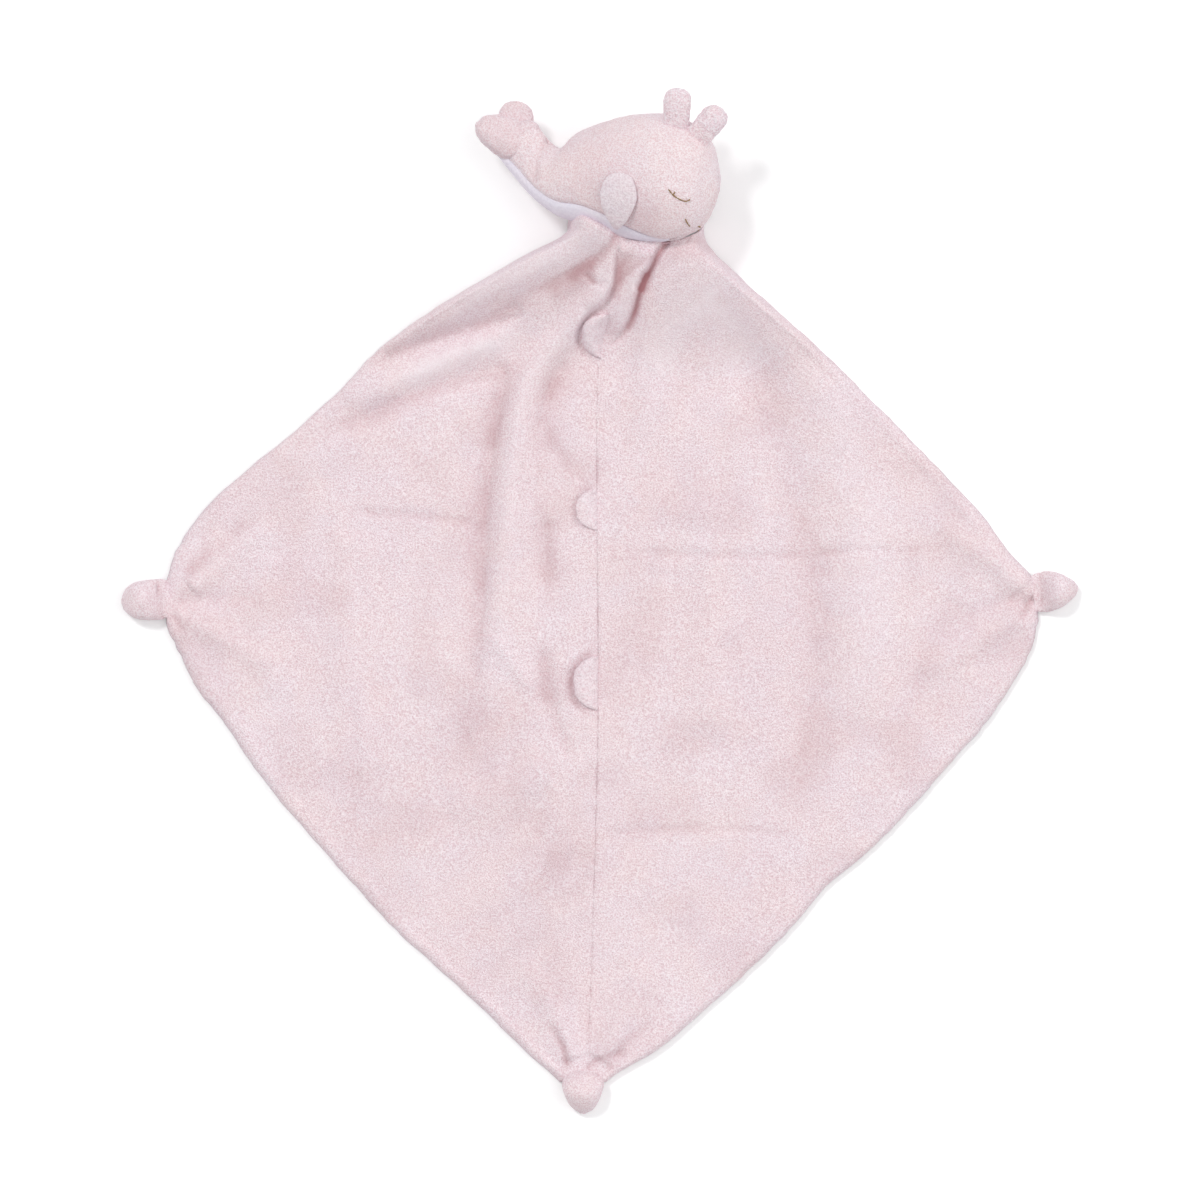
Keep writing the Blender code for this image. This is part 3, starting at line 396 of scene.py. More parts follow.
# %% The cloths
BLANKET_PLUSH = plush("pink_blanket_plush", linear(255, 243, 247), linear(234, 207, 213), linear(184, 130, 134),
                      0.0004, 0.0006, 0.48, 0.20)
WHALE_PLUSH = plush("pink_whale_plush", linear(255, 245, 248), linear(238, 211, 215), linear(188, 130, 134),
                    0.0004, 0.0006, 0.40, 0.28)
SPOUT_PLUSH = plush("nubby_pink_plush", linear(255, 245, 249), linear(239, 211, 218), linear(172, 124, 136),
                    0.0005, 0.0009, 0.50, 0.25)
FIN_VELOUR = plush("pale_pink_fin_velour", linear(246, 236, 240), linear(230, 212, 218), linear(206, 170, 180),
                   0.0005, 0.0006, 0.25, 0.25)
BELLY_VELOUR = plush("lavender_white_velour", linear(243, 237, 246), linear(235, 228, 239), linear(210, 196, 214),
                     0.0006, 0.0002, 0.10, 0.30)
FILLING = plush("white_fibre_filling", linear(246, 246, 244), linear(232, 232, 230), linear(205, 205, 203),
                0.0015, 0.0012, 0.20, 0.10)
print("materials with the six cloths", len(bpy.data.materials))


# %% The threads
def thread_look(name, light, dark, ply):
    """Spun thread: fine bands across it between a lighter and a darker tone."""
    made, tree, shader = new_material(name)
    place = tree.nodes.new("ShaderNodeTexCoord")
    fibres = noise_node(tree, place, ply, 2.0, 1.5)
    tree.links.new(blended(tree, stretched(tree, fibres, 0.38, 0.62), dark, light), shader.inputs["Base Color"])
    shader.inputs["Roughness"].default_value = 0.60
    return made


TAN_THREAD = thread_look("tan_embroidery_thread", linear(172, 140, 98), linear(112, 84, 56), 0.0003)
PINK_THREAD = thread_look("pink_sewing_thread", linear(226, 196, 202), linear(196, 158, 166), 0.0003)
print("materials with the two threads", len(bpy.data.materials))

# %% [markdown]
# ## The shape of the whale
# The whale's body is a tube of ellipses along a spine from its nose to its tail. A station counts along
# the spine and an angle goes round it: 0 degrees is the back, 90 the right side, which faces up here,
# and 180 the belly. The two pink sides, the pale belly, the fins and the stitches all take their places
# from this one function, so they fit each other. It comes before the blanket, because the gathered
# corner of the cloth ends against the belly.

# %% The whale's stations
WHALE_LENGTH, WHALE_HEIGHT, WHALE_WIDTH = 0.1065, 0.0650, 0.0580
WHALE_STATIONS = np.array([
    (0.367, -0.069, 0.190, 0.000, 0.000), (0.355, -0.068, 0.183, 0.110, 0.105),
    (0.318, -0.062, 0.164, 0.277, 0.276), (0.275, -0.055, 0.142, 0.372, 0.372),
    (0.186, -0.031, 0.099, 0.462, 0.466), (0.094, -0.004, 0.052, 0.489, 0.500),
    (0.000, -0.002, 0.000, 0.484, 0.500), (-0.094, 0.001, -0.026, 0.458, 0.487),
    (-0.188, 0.003, -0.043, 0.408, 0.440), (-0.282, 0.000, -0.060, 0.352, 0.372),
    (-0.366, -0.002, -0.078, 0.290, 0.293), (-0.441, 0.042, -0.103, 0.218, 0.200),
    (-0.507, 0.138, -0.129, 0.192, 0.155), (-0.559, 0.246, -0.138, 0.192, 0.138),
    (-0.588, 0.318, -0.138, 0.184, 0.118), (-0.596, 0.338, -0.138, 0.000, 0.000),
]) * np.array([WHALE_LENGTH, WHALE_HEIGHT, WHALE_WIDTH, WHALE_HEIGHT, WHALE_WIDTH])
BELLY_HALF_ANGLES = np.array([0, 0, 0, 0, 4, 13, 24, 34, 40, 45, 45, 48, 51, 46, 28, 0.0])


def joint_point(name):
    """The place of a joint of the frame."""
    return np.array(next(joint["pos_m"] for joint in frame["joints"] if joint["name"] == name))


TILT_POINT = joint_point("whale_tilt")
SPINE = WHALE_STATIONS[:, :3]
FORWARD = unit(-np.gradient(SPINE, axis=0))
UPPER_SIDE = unit(np.array([-0.35, 0.12, 0.93]))
SIDEWAYS = unit(UPPER_SIDE - (FORWARD @ UPPER_SIDE)[:, None] * FORWARD)
TOWARDS_BACK = np.cross(SIDEWAYS, FORWARD)

print("spine of", len(SPINE), "stations")


# %% The whale's surface
def girth_at(station):
    """Half the height and half the width of the whale at stations."""
    return smooth_through(WHALE_STATIONS[:, 3:], station)


def whale_ellipse(station, degrees):
    """spine + back * height * cos(angle) + side * width * sin(angle), all read along the spine."""
    angle = np.radians(np.asarray(degrees, float))
    station, angle = np.broadcast_arrays(np.asarray(station, float), angle)
    girth = np.maximum(girth_at(station), 0)
    return (smooth_through(SPINE, station)
            + smooth_through(TOWARDS_BACK, station) * (girth[..., 0] * np.cos(angle))[..., None]
            + smooth_through(SIDEWAYS, station) * (girth[..., 1] * np.sin(angle))[..., None])


SAMPLES = whale_ellipse(np.linspace(0, 15, 240)[:, None], np.linspace(0, 360, 240)[None, :]).reshape(-1, 3)
WHALE_CENTRE = TILT_POINT - SAMPLES[np.argmin(SAMPLES[:, 1])]
SAMPLES = SAMPLES + WHALE_CENTRE


def whale_outward(station, degrees):
    """Directions out of the whale: (slope along) x (slope round)."""
    station, degrees = np.asarray(station, float), np.asarray(degrees, float)
    along = whale_ellipse(station + 0.01, degrees) - whale_ellipse(station - 0.01, degrees)
    round_it = whale_ellipse(station, degrees + 0.5) - whale_ellipse(station, degrees - 0.5)
    return unit(np.cross(along, round_it))


def on_whale(station, degrees, height=0.0):
    """Places on the whale where it lies, raised off its skin by a height."""
    return (WHALE_CENTRE + whale_ellipse(station, degrees)
            + whale_outward(station, degrees) * np.asarray(height)[..., None])


BESIDE = 0.0020


def belly_front(x, z):
    """The lowest y of the whale at places x and heights z: the least of all its samples beside them."""
    near = np.abs(SAMPLES[None, :, 0] - x[:, None]) < BESIDE
    off = np.where(near, np.abs(SAMPLES[None, :, 2] - z[:, None]), np.inf)
    level = off < np.maximum(BESIDE, off.min(axis=1) + 0.0005)[:, None]
    return np.where(level, SAMPLES[None, :, 1], np.inf).min(axis=1)


print("whale from", np.round(SAMPLES.min(0), 4), "to", np.round(SAMPLES.max(0), 4))

# %% [markdown]
# ## The lines of the blanket
# The outline is read as two edges, left and right of the centre seam. Inside them the cloth is a height
# over the floor: a flat layer, a climb towards the belly, folds, and hems that roll down. Each fold is a
# bell across its own line, with one width on either side, because a gathered fold is steep where the
# next one lies over it and gentle on its other side. A negative bell is a valley or a crease.

# %% Edges and the centre seam
CENTRE_SEAM = soft_line([(586, 1084), (590, 1000), (595, 850), (598, 700), (597, 520), (597, 400), (600, 352),
    (606, 325), (612, 285), (622, 236)], 200)
LEFT_EDGE = soft_line([(560, 1082), (548, 1071), (524, 1050), (484, 1010), (440, 970), (396, 930), (359, 890),
    (323, 850), (288, 810), (256, 770), (230, 730), (198, 690), (178, 650), (168, 628), (167, 605),
    (167, 582), (177, 550), (204, 510), (247, 470), (296, 430), (340, 390), (378, 350), (432, 310),
    (465, 290), (498, 270), (533, 251), (558, 239), (568, 231)], 400)
RIGHT_EDGE = soft_line([(607, 1082), (621, 1071), (657, 1050), (705, 1010), (749, 970), (789, 930),
    (823, 890), (870, 850), (909, 810), (944, 770), (980, 730), (1009, 690), (1031, 650), (1037, 628),
    (1038, 605), (1036, 582), (1008, 550), (978, 510), (940, 470), (901, 430), (861, 390), (821, 350),
    (776, 310), (754, 290), (733, 270), (712, 250), (704, 236)], 400)
CLOTH_FOOT = from_photo((0, 1082))[1]
NECK_LINE = from_photo([(566, 225), (640, 238), (706, 246)])
NECK_SLOPE = 0.0700
BACK_TOP_HEIGHT = 0.0024
CLOTH_TOP_HEIGHT = 0.0065
HEM_ROLL = 0.0034
SEAM_SEEN_TO = from_photo((0, 320))[1]
HALF_SPAN = 0.2175
CLOTH_LAYER, THINNEST_LAYER, BELOW_HEM = 0.0041, 0.0020, 0.0016
CLOTH_THICKNESS = 0.0022
WELT_HEIGHT, WELT_PLACE, WELT_WIDTH = 0.0006, 0.0050, 0.0024
HEM_ROLL_AT_NECK, HEM_ROUNDNESS = 0.0100, 2.4
GROOVE_WIDTH, GROOVE_DEPTH, GROOVE_PAINTED_SHADE = 0.0020, 0.0006, 0.20


def neck_y(x):
    """Where the neck's line crosses the places x."""
    return np.interp(x, NECK_LINE[:, 0], NECK_LINE[:, 1])


print("blanket", np.round(RIGHT_EDGE[:, 0].max() - LEFT_EDGE[:, 0].min(), 4), "m wide between its hems")

# %% Folds
# height and widths to the left and right of the line, in millimetres, then the strength at its start and
# end, the painted shade in it (painted light where it is below zero), and the line; rows of no height only
# paint. Most lines run down the photo, and the left of those is its right.
FOLDS = [
    (0, 17, 17, 1, 0.8, -0.7, [(706, 290), (714, 300), (722, 312), (738, 344), (756, 372)]),
    (0, 8, 8, 1, 0.8, -0.6, [(596, 238), (562, 252), (520, 272), (480, 292), (440, 318)]),
    (0, 8, 8, 1, 0.8, -0.85, [(512, 338), (470, 352), (430, 368), (390, 386)]),
    (0, 12, 12, 1, 1, -0.5, [(688, 296), (672, 322), (662, 352), (660, 380)]),
    (0, 6, 9, 1, 0.8, 0.18, [(704, 252), (684, 256), (664, 262), (650, 272)]),
    (0, 4.5, 4.5, 1, 1, -0.6, [(600, 268), (603, 282), (598, 294)]),
    (0, 5, 5, 1, 1, -0.6, [(634, 278), (628, 296), (616, 322)]),
    (0, 16, 16, 1, 1, -0.22, [(800, 360), (858, 470), (876, 600), (866, 720)]),
    (8, 6, 12, 1, 0.35, 0, [(590, 228), (574, 247), (545, 263), (505, 284), (465, 304), (425, 328),
        (385, 353)]),
    (-4.6, 5, 2.2, 1, 0.2, 0.55, [(617, 231), (611, 245), (600, 254), (588, 261), (574, 270), (556, 280),
        (528, 293), (490, 310)]),
    (4.5, 2.2, 4.5, 0.9, 0.9, -0.2, [(619, 241), (611, 258), (611, 278), (604, 296), (590, 311)]),
    (0, 4, 4, 1, 0.6, 0.3, [(600, 259), (590, 268), (579, 274), (566, 280)]),
    (0, 7, 7, 1, 0.7, 0.34, [(600, 272), (584, 279), (566, 288), (548, 298)]),
    (0, 6.5, 6.5, 1, 0.8, 0.06, [(640, 257), (629, 265), (623, 280), (618, 300), (611, 318)]),
    (-1.6, 2, 2, 0.8, 0.6, 0.28, [(652, 256), (640, 263), (628, 274), (618, 287)]),
    (2.4, 4, 4, 1, 0.8, 0, [(640, 246), (628, 250), (620, 254)]),
    (-1.4, 1.8, 1.8, 1, 0.7, 0.45, [(586, 274), (594, 283), (601, 284), (607, 281)]),
    (8, 9, 6, 0.95, 0.45, -0.35, [(604, 290), (590, 308), (566, 334), (540, 360), (522, 392), (513, 440),
        (508, 490), (504, 550), (499, 620), (490, 700)]),
    (-1.4, 3.5, 4, 1, 0.6, 0.05, [(563, 362), (550, 385), (543, 412), (541, 450), (541, 500), (542, 560),
        (546, 620)]),
    (-4.5, 3, 1.6, 0.9, 0.8, 0.42, [(618, 256), (617, 272), (613, 289), (605, 303), (593, 313), (584, 323),
        (579, 334), (580, 347), (590, 358)]),
    (-2.8, 5.5, 3, 1, 0.4, 0.24, [(630, 254), (624, 268), (620, 285), (616, 300), (611, 325), (607, 350)]),
    (7, 3.5, 7, 1, 0.3, 0, [(652, 252), (640, 274), (630, 296), (621, 316), (614, 336)]),
    (-7, 2.6, 2.6, 1, 1, 0.7, [(648, 274), (643, 284), (639, 292)]),
    (0, 3, 3, 1, 0.6, 0.45, [(645, 284), (640, 296), (637, 308), (632, 322), (626, 334)]),
    (-11, 1.5, 1.6, 1, 0.3, 0.9, [(669, 240), (659, 254), (652, 268), (645, 281), (639, 296), (636, 308),
        (630, 324), (622, 335), (612, 346)]),
    (6, 15, 5, 1, 0.3, 0, [(686, 248), (674, 275), (659, 305), (648, 335), (641, 380), (642, 450)]),
    (-3, 5, 5, 1, 0.8, 0.26, [(524, 308), (480, 325), (440, 337), (400, 351), (368, 366)]),
    (4.5, 7, 6.5, 1, 0.6, 0, [(500, 340), (450, 358), (400, 378), (345, 406)]),
    (-3.4, 5.5, 5.5, 0.7, 1, 0.26, [(510, 372), (486, 375), (455, 381), (425, 391), (395, 405), (365, 418),
        (325, 434)]),
    (-4.2, 3, 7, 0.7, 0.7, 0.4, [(505, 382), (496, 430), (488, 490), (484, 540), (482, 600), (476, 690)]),
    (-1.4, 6.5, 4.5, 1, 0.8, 0.12, [(566, 358), (556, 380), (548, 402), (546, 424), (552, 444), (566, 460),
        (582, 476), (594, 492)]),
    (0, 10, 10, 1, 1, 0.13, [(556, 372), (549, 400), (549, 430), (560, 452), (578, 472), (592, 492)]),
    (0, 8, 8, 1, 1, 0.13, [(540, 520), (545, 545), (556, 566), (570, 584)]),
    (-1.6, 5, 5, 1, 0.8, 0.16, [(548, 520), (546, 555), (550, 600)]),
    (-2.4, 4.5, 4.5, 1, 0.7, 0.22, [(543, 648), (546, 688), (553, 716), (562, 738), (576, 756)]),
    (1.8, 4, 4, 1, 0.6, 0, [(498, 642), (515, 666), (533, 692)]),
    (-0.4, 1.6, 1.6, 1, 1, 0.12, [(593, 486), (583, 490), (576, 499), (573, 511), (577, 523), (586, 531),
        (595, 533)]),
    (-0.8, 2.2, 2.2, 1, 1, 0.34, [(592, 653), (581, 659), (573, 671), (570, 686), (573, 698), (581, 708),
        (593, 713)]),
    (0, 30, 30, 1, 0.9, 0.14, [(470, 700), (500, 780), (552, 862), (520, 930), (490, 1000)]),
    (0, 25, 25, 1, 1, 0.09, [(385, 760), (372, 850), (400, 930)]),
    (0, 24, 24, 1, 1, 0.07, [(212, 520), (285, 446)]),
    (0, 20, 20, 1, 1, 0.07, [(200, 660), (228, 722)]),
    (0, 16, 16, 1, 1, 0.08, [(608, 562), (668, 572)]),
    (0, 16, 16, 1, 1, 0.08, [(938, 530), (976, 576)]),
    (0, 14, 14, 1, 1, 0.1, [(545, 856), (596, 872)]),
    (2.5, 11, 11, 1, 1, 0, [(550, 770), (510, 790), (450, 812)]),
    (2, 10, 10, 1, 1, 0, [(272, 555), (268, 630), (275, 700)]),
    (2.2, 10, 10, 1, 1, 0, [(352, 530), (348, 640), (360, 780)]),
    (4.5, 6.5, 6.5, 0.9, 0.3, 0, [(190, 588), (225, 560), (275, 520)]),
    (-2.4, 3.4, 3.4, 1, 0.2, 0.28, [(186, 575), (215, 548), (262, 512)]),
    (4, 6.5, 6.5, 1, 0.3, 0, [(188, 618), (225, 640), (280, 670)]),
    (-2.5, 5, 5, 1, 0.3, 0.1, [(178, 603), (215, 600), (262, 596)]),
    (-1.8, 2.2, 2.2, 1, 0.6, 0.25, [(172, 616), (179, 622), (184, 633)]),
    (4, 6.5, 6.5, 1, 0.3, 0, [(572, 1060), (556, 1016), (520, 960)]),
    (-1.8, 2.4, 2.4, 1, 0.6, 0.36, [(567, 1066), (564, 1050), (557, 1036), (548, 1024)]),
    (-1.4, 2, 2, 1, 0.8, 0.3, [(586, 1069), (597, 1060), (612, 1055), (626, 1053)]),
    (4, 12, 12, 1, 0.5, 0, [(716, 262), (760, 320), (820, 380), (890, 440)]),
    (-3, 11, 11, 0.7, 1, 0.14, [(735, 330), (775, 430), (805, 540), (818, 650), (806, 760), (788, 830)]),
    (3, 13, 13, 1, 1, 0, [(800, 360), (845, 470), (862, 600), (858, 720)]),
    (2.2, 11, 11, 1, 1, 0, [(700, 500), (712, 620), (706, 740)]),
    (4.5, 6.5, 6.5, 0.9, 0.3, 0, [(1022, 590), (985, 556), (930, 520)]),
    (4, 6.5, 6.5, 1, 0.3, 0, [(1020, 614), (980, 640), (920, 676)]),
    (-3, 5, 5, 1, 0.4, 0.12, [(1026, 600), (985, 610), (935, 640)]),
    (-2.2, 2.2, 2.2, 1, 0.6, 0.6, [(1033, 598), (1027, 607), (1021, 622)]),
    (-1.2, 7, 7, 1, 1, 0.1, [(958, 600), (930, 650), (905, 720)]),
    (4, 6.5, 6.5, 1, 0.3, 0, [(598, 1060), (622, 1016), (652, 962)]),
    (-1.8, 3, 3, 1, 0.3, 0.25, [(608, 1068), (630, 1040), (654, 1016)]),
    (-0.8, 2.5, 2.5, 1, 1, 0.12, [(640, 552), (740, 556), (840, 552), (945, 548)]),
    (-0.7, 2.5, 2.5, 1, 1, 0.1, [(610, 832), (700, 828), (800, 833)]),
    (-0.9, 2.5, 2.5, 1, 1, 0.14, [(350, 511), (420, 516), (452, 520), (490, 527)]),
    (-0.6, 3, 3, 1, 1, 0.05, [(352, 700), (356, 770), (350, 820)]),
]


def fold_relief(x, y):
    """The sum of all folds: height * strength * exp(-(distance / width)^2). The painted shade and light is the
    same with 0.8 of the width, and uneven. The strength fades in at the start and falls to nothing at the end."""
    relief, tone_and_painted_light = np.zeros(x.shape), np.zeros(x.shape)
    places = np.stack([x, y], axis=-1)
    for height, left, right, start, end, tint, pixels in FOLDS:
        line = soft_line(pixels, 70)
        slope = np.gradient(line, axis=0)
        reach = max(left, right) * 0.0026
        close = np.all((places > line.min(0) - reach) & (places < line.max(0) + reach), axis=-1)
        offset = places[close][:, None, :] - line
        distance = np.linalg.norm(offset, axis=-1)
        nearest = np.argmin(distance, axis=-1)
        row = np.arange(len(nearest))
        away = offset[row, nearest]
        to_left = slope[nearest, 0] * away[:, 1] - slope[nearest, 1] * away[:, 0] > 0
        width = np.where(to_left, left, right) * 0.001
        bell = np.exp(-(distance[row, nearest] / width) ** 2)
        along = nearest / 69
        strength = (start + (end - start) * along) * np.sqrt(ease((1 - along) / 0.25)) * ease(0.4 + along / 0.15)
        relief[close] += height * 0.001 * bell * strength
        tone_and_painted_light[close] += tint * np.exp(-(distance[row, nearest] / (width * 0.8)) ** 2) * strength
    return relief, tone_and_painted_light * (1 + 0.45 * lumps(np.stack([x, y, 0 * x], axis=-1), 0.0060, 27))


print(len(FOLDS), "folds")


# %% The height of the cloth
def cloth_height(x, y, side, fuzz=0.0):
    """Flat layer + climb to the belly + folds + welt + slack and pile, times the hem. The hem falls from 1
    to 0 along near^2.4 + hem^2.4 = 1, where near grows from 0 to 1 over the roll towards the edge."""
    climb = ease(1 - (neck_y(x) - y) / NECK_SLOPE)
    seam_x = x_at(CENTRE_SEAM, y)
    edge_x = x_at(LEFT_EDGE if side < 0 else RIGHT_EDGE, y) + side * fuzz
    relief, tone_and_painted_light = fold_relief(x, y)
    slant = np.clip(np.abs(edge_x - seam_x) / HALF_SPAN, 0, 1)
    from_edge = np.minimum(np.abs(edge_x - x) * (1 - 0.35 * slant), y - CLOTH_FOOT + 0.0010)
    from_seam = np.abs(x - seam_x)
    places = np.stack([x, y, np.zeros_like(x)], axis=-1)
    slack = lumps(places, 0.028, 3) * 0.0005 + lumps(places, 0.011, 5) * 0.00022
    pile = lumps(places, 0.0040, 7) * 0.00008
    bell = np.exp(-((from_edge - WELT_PLACE) / WELT_WIDTH) ** 2)
    welt = WELT_HEIGHT * bell * (1 + lumps(places, 0.014, 11))
    height = CLOTH_LAYER + relief * (1 - 0.50 * climb) + welt + slack
    height = np.maximum(height, THINNEST_LAYER + 0.0004 * lumps(places, 0.012, 2))
    height = height + climb * (TILT_POINT[2] - CLOTH_TOP_HEIGHT)
    roll = HEM_ROLL + (HEM_ROLL_AT_NECK - HEM_ROLL) * climb
    near = 1 - np.clip(from_edge / roll, 0, 1)
    hem = (1 - near**HEM_ROUNDNESS) ** (1 / HEM_ROUNDNESS)
    bridged = 0.65 + 0.5 * lumps(places * (0, 1, 0), 0.0050, 19)
    ends = ease((SEAM_SEEN_TO - y) / 0.010), ease((y - CLOTH_FOOT) / 0.030)
    groove = (1 - np.clip(from_seam / GROOVE_WIDTH, 0, 1)) * ends[0] * ends[1] * bridged
    height = -BELOW_HEM + (height + BELOW_HEM) * hem
    height -= np.where(hem > 0.7, GROOVE_DEPTH * groove**1.5, 0)
    # Painted shade down the groove of the centre seam.
    tone_and_painted_light = tone_and_painted_light + GROOVE_PAINTED_SHADE * groove**2
    patches = ease((lumps(places, 0.022, 13) - 0.1) * 1.4) * 0.10
    return BACK_TOP_HEIGHT + height + pile * hem, np.clip(tone_and_painted_light + patches, -1, 1), from_edge


beside = np.full((1, 1), 0.1)
height_there = cloth_height(beside, 0 * beside, 1)[0].item()
print("cloth 100 mm right of the middle is", round(height_there * 1000, 2), "mm high")

# %% [markdown]
# ## The two halves of the front
# The front is sewn from two halves that meet in the centre seam, under the tabs. Each half is a grid
# whose rows run from the seam to the hem, closer together near both. The rows next to the whale are
# pulled until they meet the belly at the height that the cloth has there. A simulated cloth was expected
# to fall into folds of its own and was not tried, so the photographed folds are modelled where they lie.
# The end at the neck climbs from the blanket to the belly.


# %% Front panels
HUMP_X = from_photo((591, 0))[0]
HUMP_HEIGHT, HUMP_LENGTH, HUMP_ROUND = 0.0100, 0.016, 0.005
ROWS_AT_NECK = 110


def front_half(name, edge, side, rows=381, columns=187):
    """x = seam + (edge - seam) * share; z = cloth_height, with a hump where the cloth is bunched under the
    fin; a second grid lies one cloth thickness inside."""
    top = NECK_LINE[:, 1].max()
    split = top - NECK_SLOPE
    low = np.linspace(CLOTH_FOOT, split, rows - ROWS_AT_NECK, endpoint=False)
    level = np.concatenate([low, np.linspace(split, top, ROWS_AT_NECK)])[:, None]
    share = (0.55 * np.linspace(0, 1, columns) + 0.45 * bunched(columns))[None, :]
    y = np.repeat(level, columns, axis=1)
    pulled = ease(1 - (top - level) / (NECK_SLOPE * 0.6))
    fuzz = lumps(np.stack([level, level * 0, level * 0], -1), 0.0035, 17 + side) * 0.00045

    def spread_over(y):
        seam_x = x_at(CENTRE_SEAM, y)
        return seam_x + (x_at(edge, y) + side * fuzz - seam_x) * share

    for _ in range(4):
        x = spread_over(y)
        z = cloth_height(x[-1:], neck_y(x[-1:]), side)[0]
        hump = np.exp(-((x[-1] - HUMP_X) / np.where(x[-1] < HUMP_X, 0.0102, 0.0134)) ** 4)
        end = levelled(belly_front(x[-1], z[0]) + 0.0038 * hump, 4)
        y = np.repeat(level, columns, axis=1) + pulled * (end - top)
    x = spread_over(y)
    z, tone_and_painted_light, from_edge = cloth_height(x, y, side, fuzz)
    before_end = end - y
    round_end = np.sqrt(1 - (1 - np.clip(before_end / HUMP_ROUND, 0, 1)) ** 2)
    z = z + hump * HUMP_HEIGHT * ease(1 - before_end / HUMP_LENGTH) * (0.45 + 0.55 * round_end)
    grid = np.stack([x, y, z], axis=-1)
    steep = np.sqrt(1 + (np.gradient(z, axis=0) / np.gradient(y, axis=0)) ** 2)
    inwards = side * CLOTH_THICKNESS * np.exp(-from_edge / 0.0030)
    under = np.stack([x - inwards, y, z - CLOTH_THICKNESS * np.minimum(steep, 2.0)], axis=-1)[::2, ::2]
    under[:, :, 1] += 0.0018 * np.exp(-(under[:, :, 1] - CLOTH_FOOT) / 0.0030)
    lowest = np.where(from_edge[::2, ::2] < 0.0030, 0.0003, BACK_TOP_HEIGHT + 0.0003)
    under[..., 2] = np.maximum(np.minimum(under[..., 2], z[::2, ::2] - 0.0004), lowest)
    return sheet_piece(name, grid, under, BLANKET_PLUSH, tone_and_painted_light)


front_left = front_half("front_cloth_left", LEFT_EDGE, -1)
front_right = front_half("front_cloth_right", RIGHT_EDGE, 1)
for piece, node in ((front_left, "blanket_front_left"), (front_right, "blanket_front_right")):
    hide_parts(node)

# %% [markdown]
# ## The back and the sewing threads
# The back is one plain square of the same plush, laid flat. Its edge stops a little inside the front's
# hem, which rolls down round it as a turned seam does. Two sewn threads lie hidden: one down the centre
# seam and one round the gathered neck. Each is a thin tube whose ring of points follows a path.


# %% Back cloth
BACK_INSET, BACK_ROLL = 0.0026, 0.0011


def back_cloth(rows=181, columns=121):
    """x = left + (right - left) * share; z flat, with a quarter circle round both faces of the rim."""
    level = np.linspace(CLOTH_FOOT + 0.0012, from_photo((0, 258))[1], rows)[:, None]
    left, right = x_at(LEFT_EDGE, level) + BACK_INSET, x_at(RIGHT_EDGE, level) - BACK_INSET
    x = left + (right - left) * bunched(columns)[None, :]
    y = np.repeat(level, columns, axis=1)
    inside = np.minimum(np.minimum(x - left, right - x), np.minimum(y - level[0], level[-1] - y))
    roll = BACK_ROLL * (1 - np.sqrt(1 - (1 - np.clip(inside / BACK_ROLL, 0, 1)) ** 2))
    top = np.stack([x, y, BACK_TOP_HEIGHT - 0.0001 - roll], axis=-1)
    under = top[::2, ::2].copy()
    under[..., 2] = roll[::2, ::2]
    return sheet_piece("back_cloth", top, under, BLANKET_PLUSH, np.zeros(x.shape))


back = back_cloth()
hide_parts("blanket_back_panel")


# %% Threads
def sewn_thread(name, path, outward, radius, stitches, look, sides=12):
    """A tube along a path: path + radius * (cos * outward + sin * sideways), drawn in between stitches."""
    along = unit(np.gradient(path, axis=0))
    sideways = unit(np.cross(along, outward))
    lift = np.cross(sideways, along)
    t = np.linspace(0, 1, len(path))
    swell = radius * (0.55 + 0.45 * np.abs(np.sin(np.pi * stitches * t)) ** 0.6)
    turn = full_turn(sides)
    twist = 1 + 0.10 * np.cos(2 * turn[None, :] + 2 * np.pi * t[:, None] * len(path) / 7)
    ring = lift[:, None] * np.cos(turn)[None, :, None] + sideways[:, None] * np.sin(turn)[None, :, None]
    rings = path[:, None] + ring * (swell[:, None] * twist)[..., None]
    return limb_piece(name, rings, look)


UPWARD = np.array([0.0, 0.0, 1.0])
HIDDEN_THREAD = 0.0005
seam_y = np.linspace(CLOTH_FOOT + 0.002, from_photo((0, 262))[1], 600)
seam_path = np.stack([x_at(CENTRE_SEAM, seam_y), seam_y, 0 * seam_y + 0.0036], -1)
seam_thread = sewn_thread("seam_sewing", seam_path, UPWARD, HIDDEN_THREAD, 150, PINK_THREAD, 8)
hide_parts("centre_seam_thread")

neck_low, neck_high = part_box("neck_thread")
neck_x = np.linspace(neck_low.x, neck_high.x, 120)
neck_z = 0 * neck_x + neck_low.z
neck_path = np.stack([neck_x, levelled(belly_front(neck_x, neck_z) - 0.0008, 5), neck_z], -1)
neck_sewing = sewn_thread("neck_sewing", neck_path, UPWARD, HIDDEN_THREAD, 26, PINK_THREAD, 8)
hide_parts("neck_thread")

# %% [markdown]
# ## The seam tabs
# Each tab is a half circle of folded plush caught in the centre seam, lying over the left half. It is
# made as a limb that runs along the seam: its rings reach out from the seam by the half circle's depth,
# and their lower side follows the cloth below, so the tab rests on it.


# %% Tabs
INTO_SEAM = 0.0012


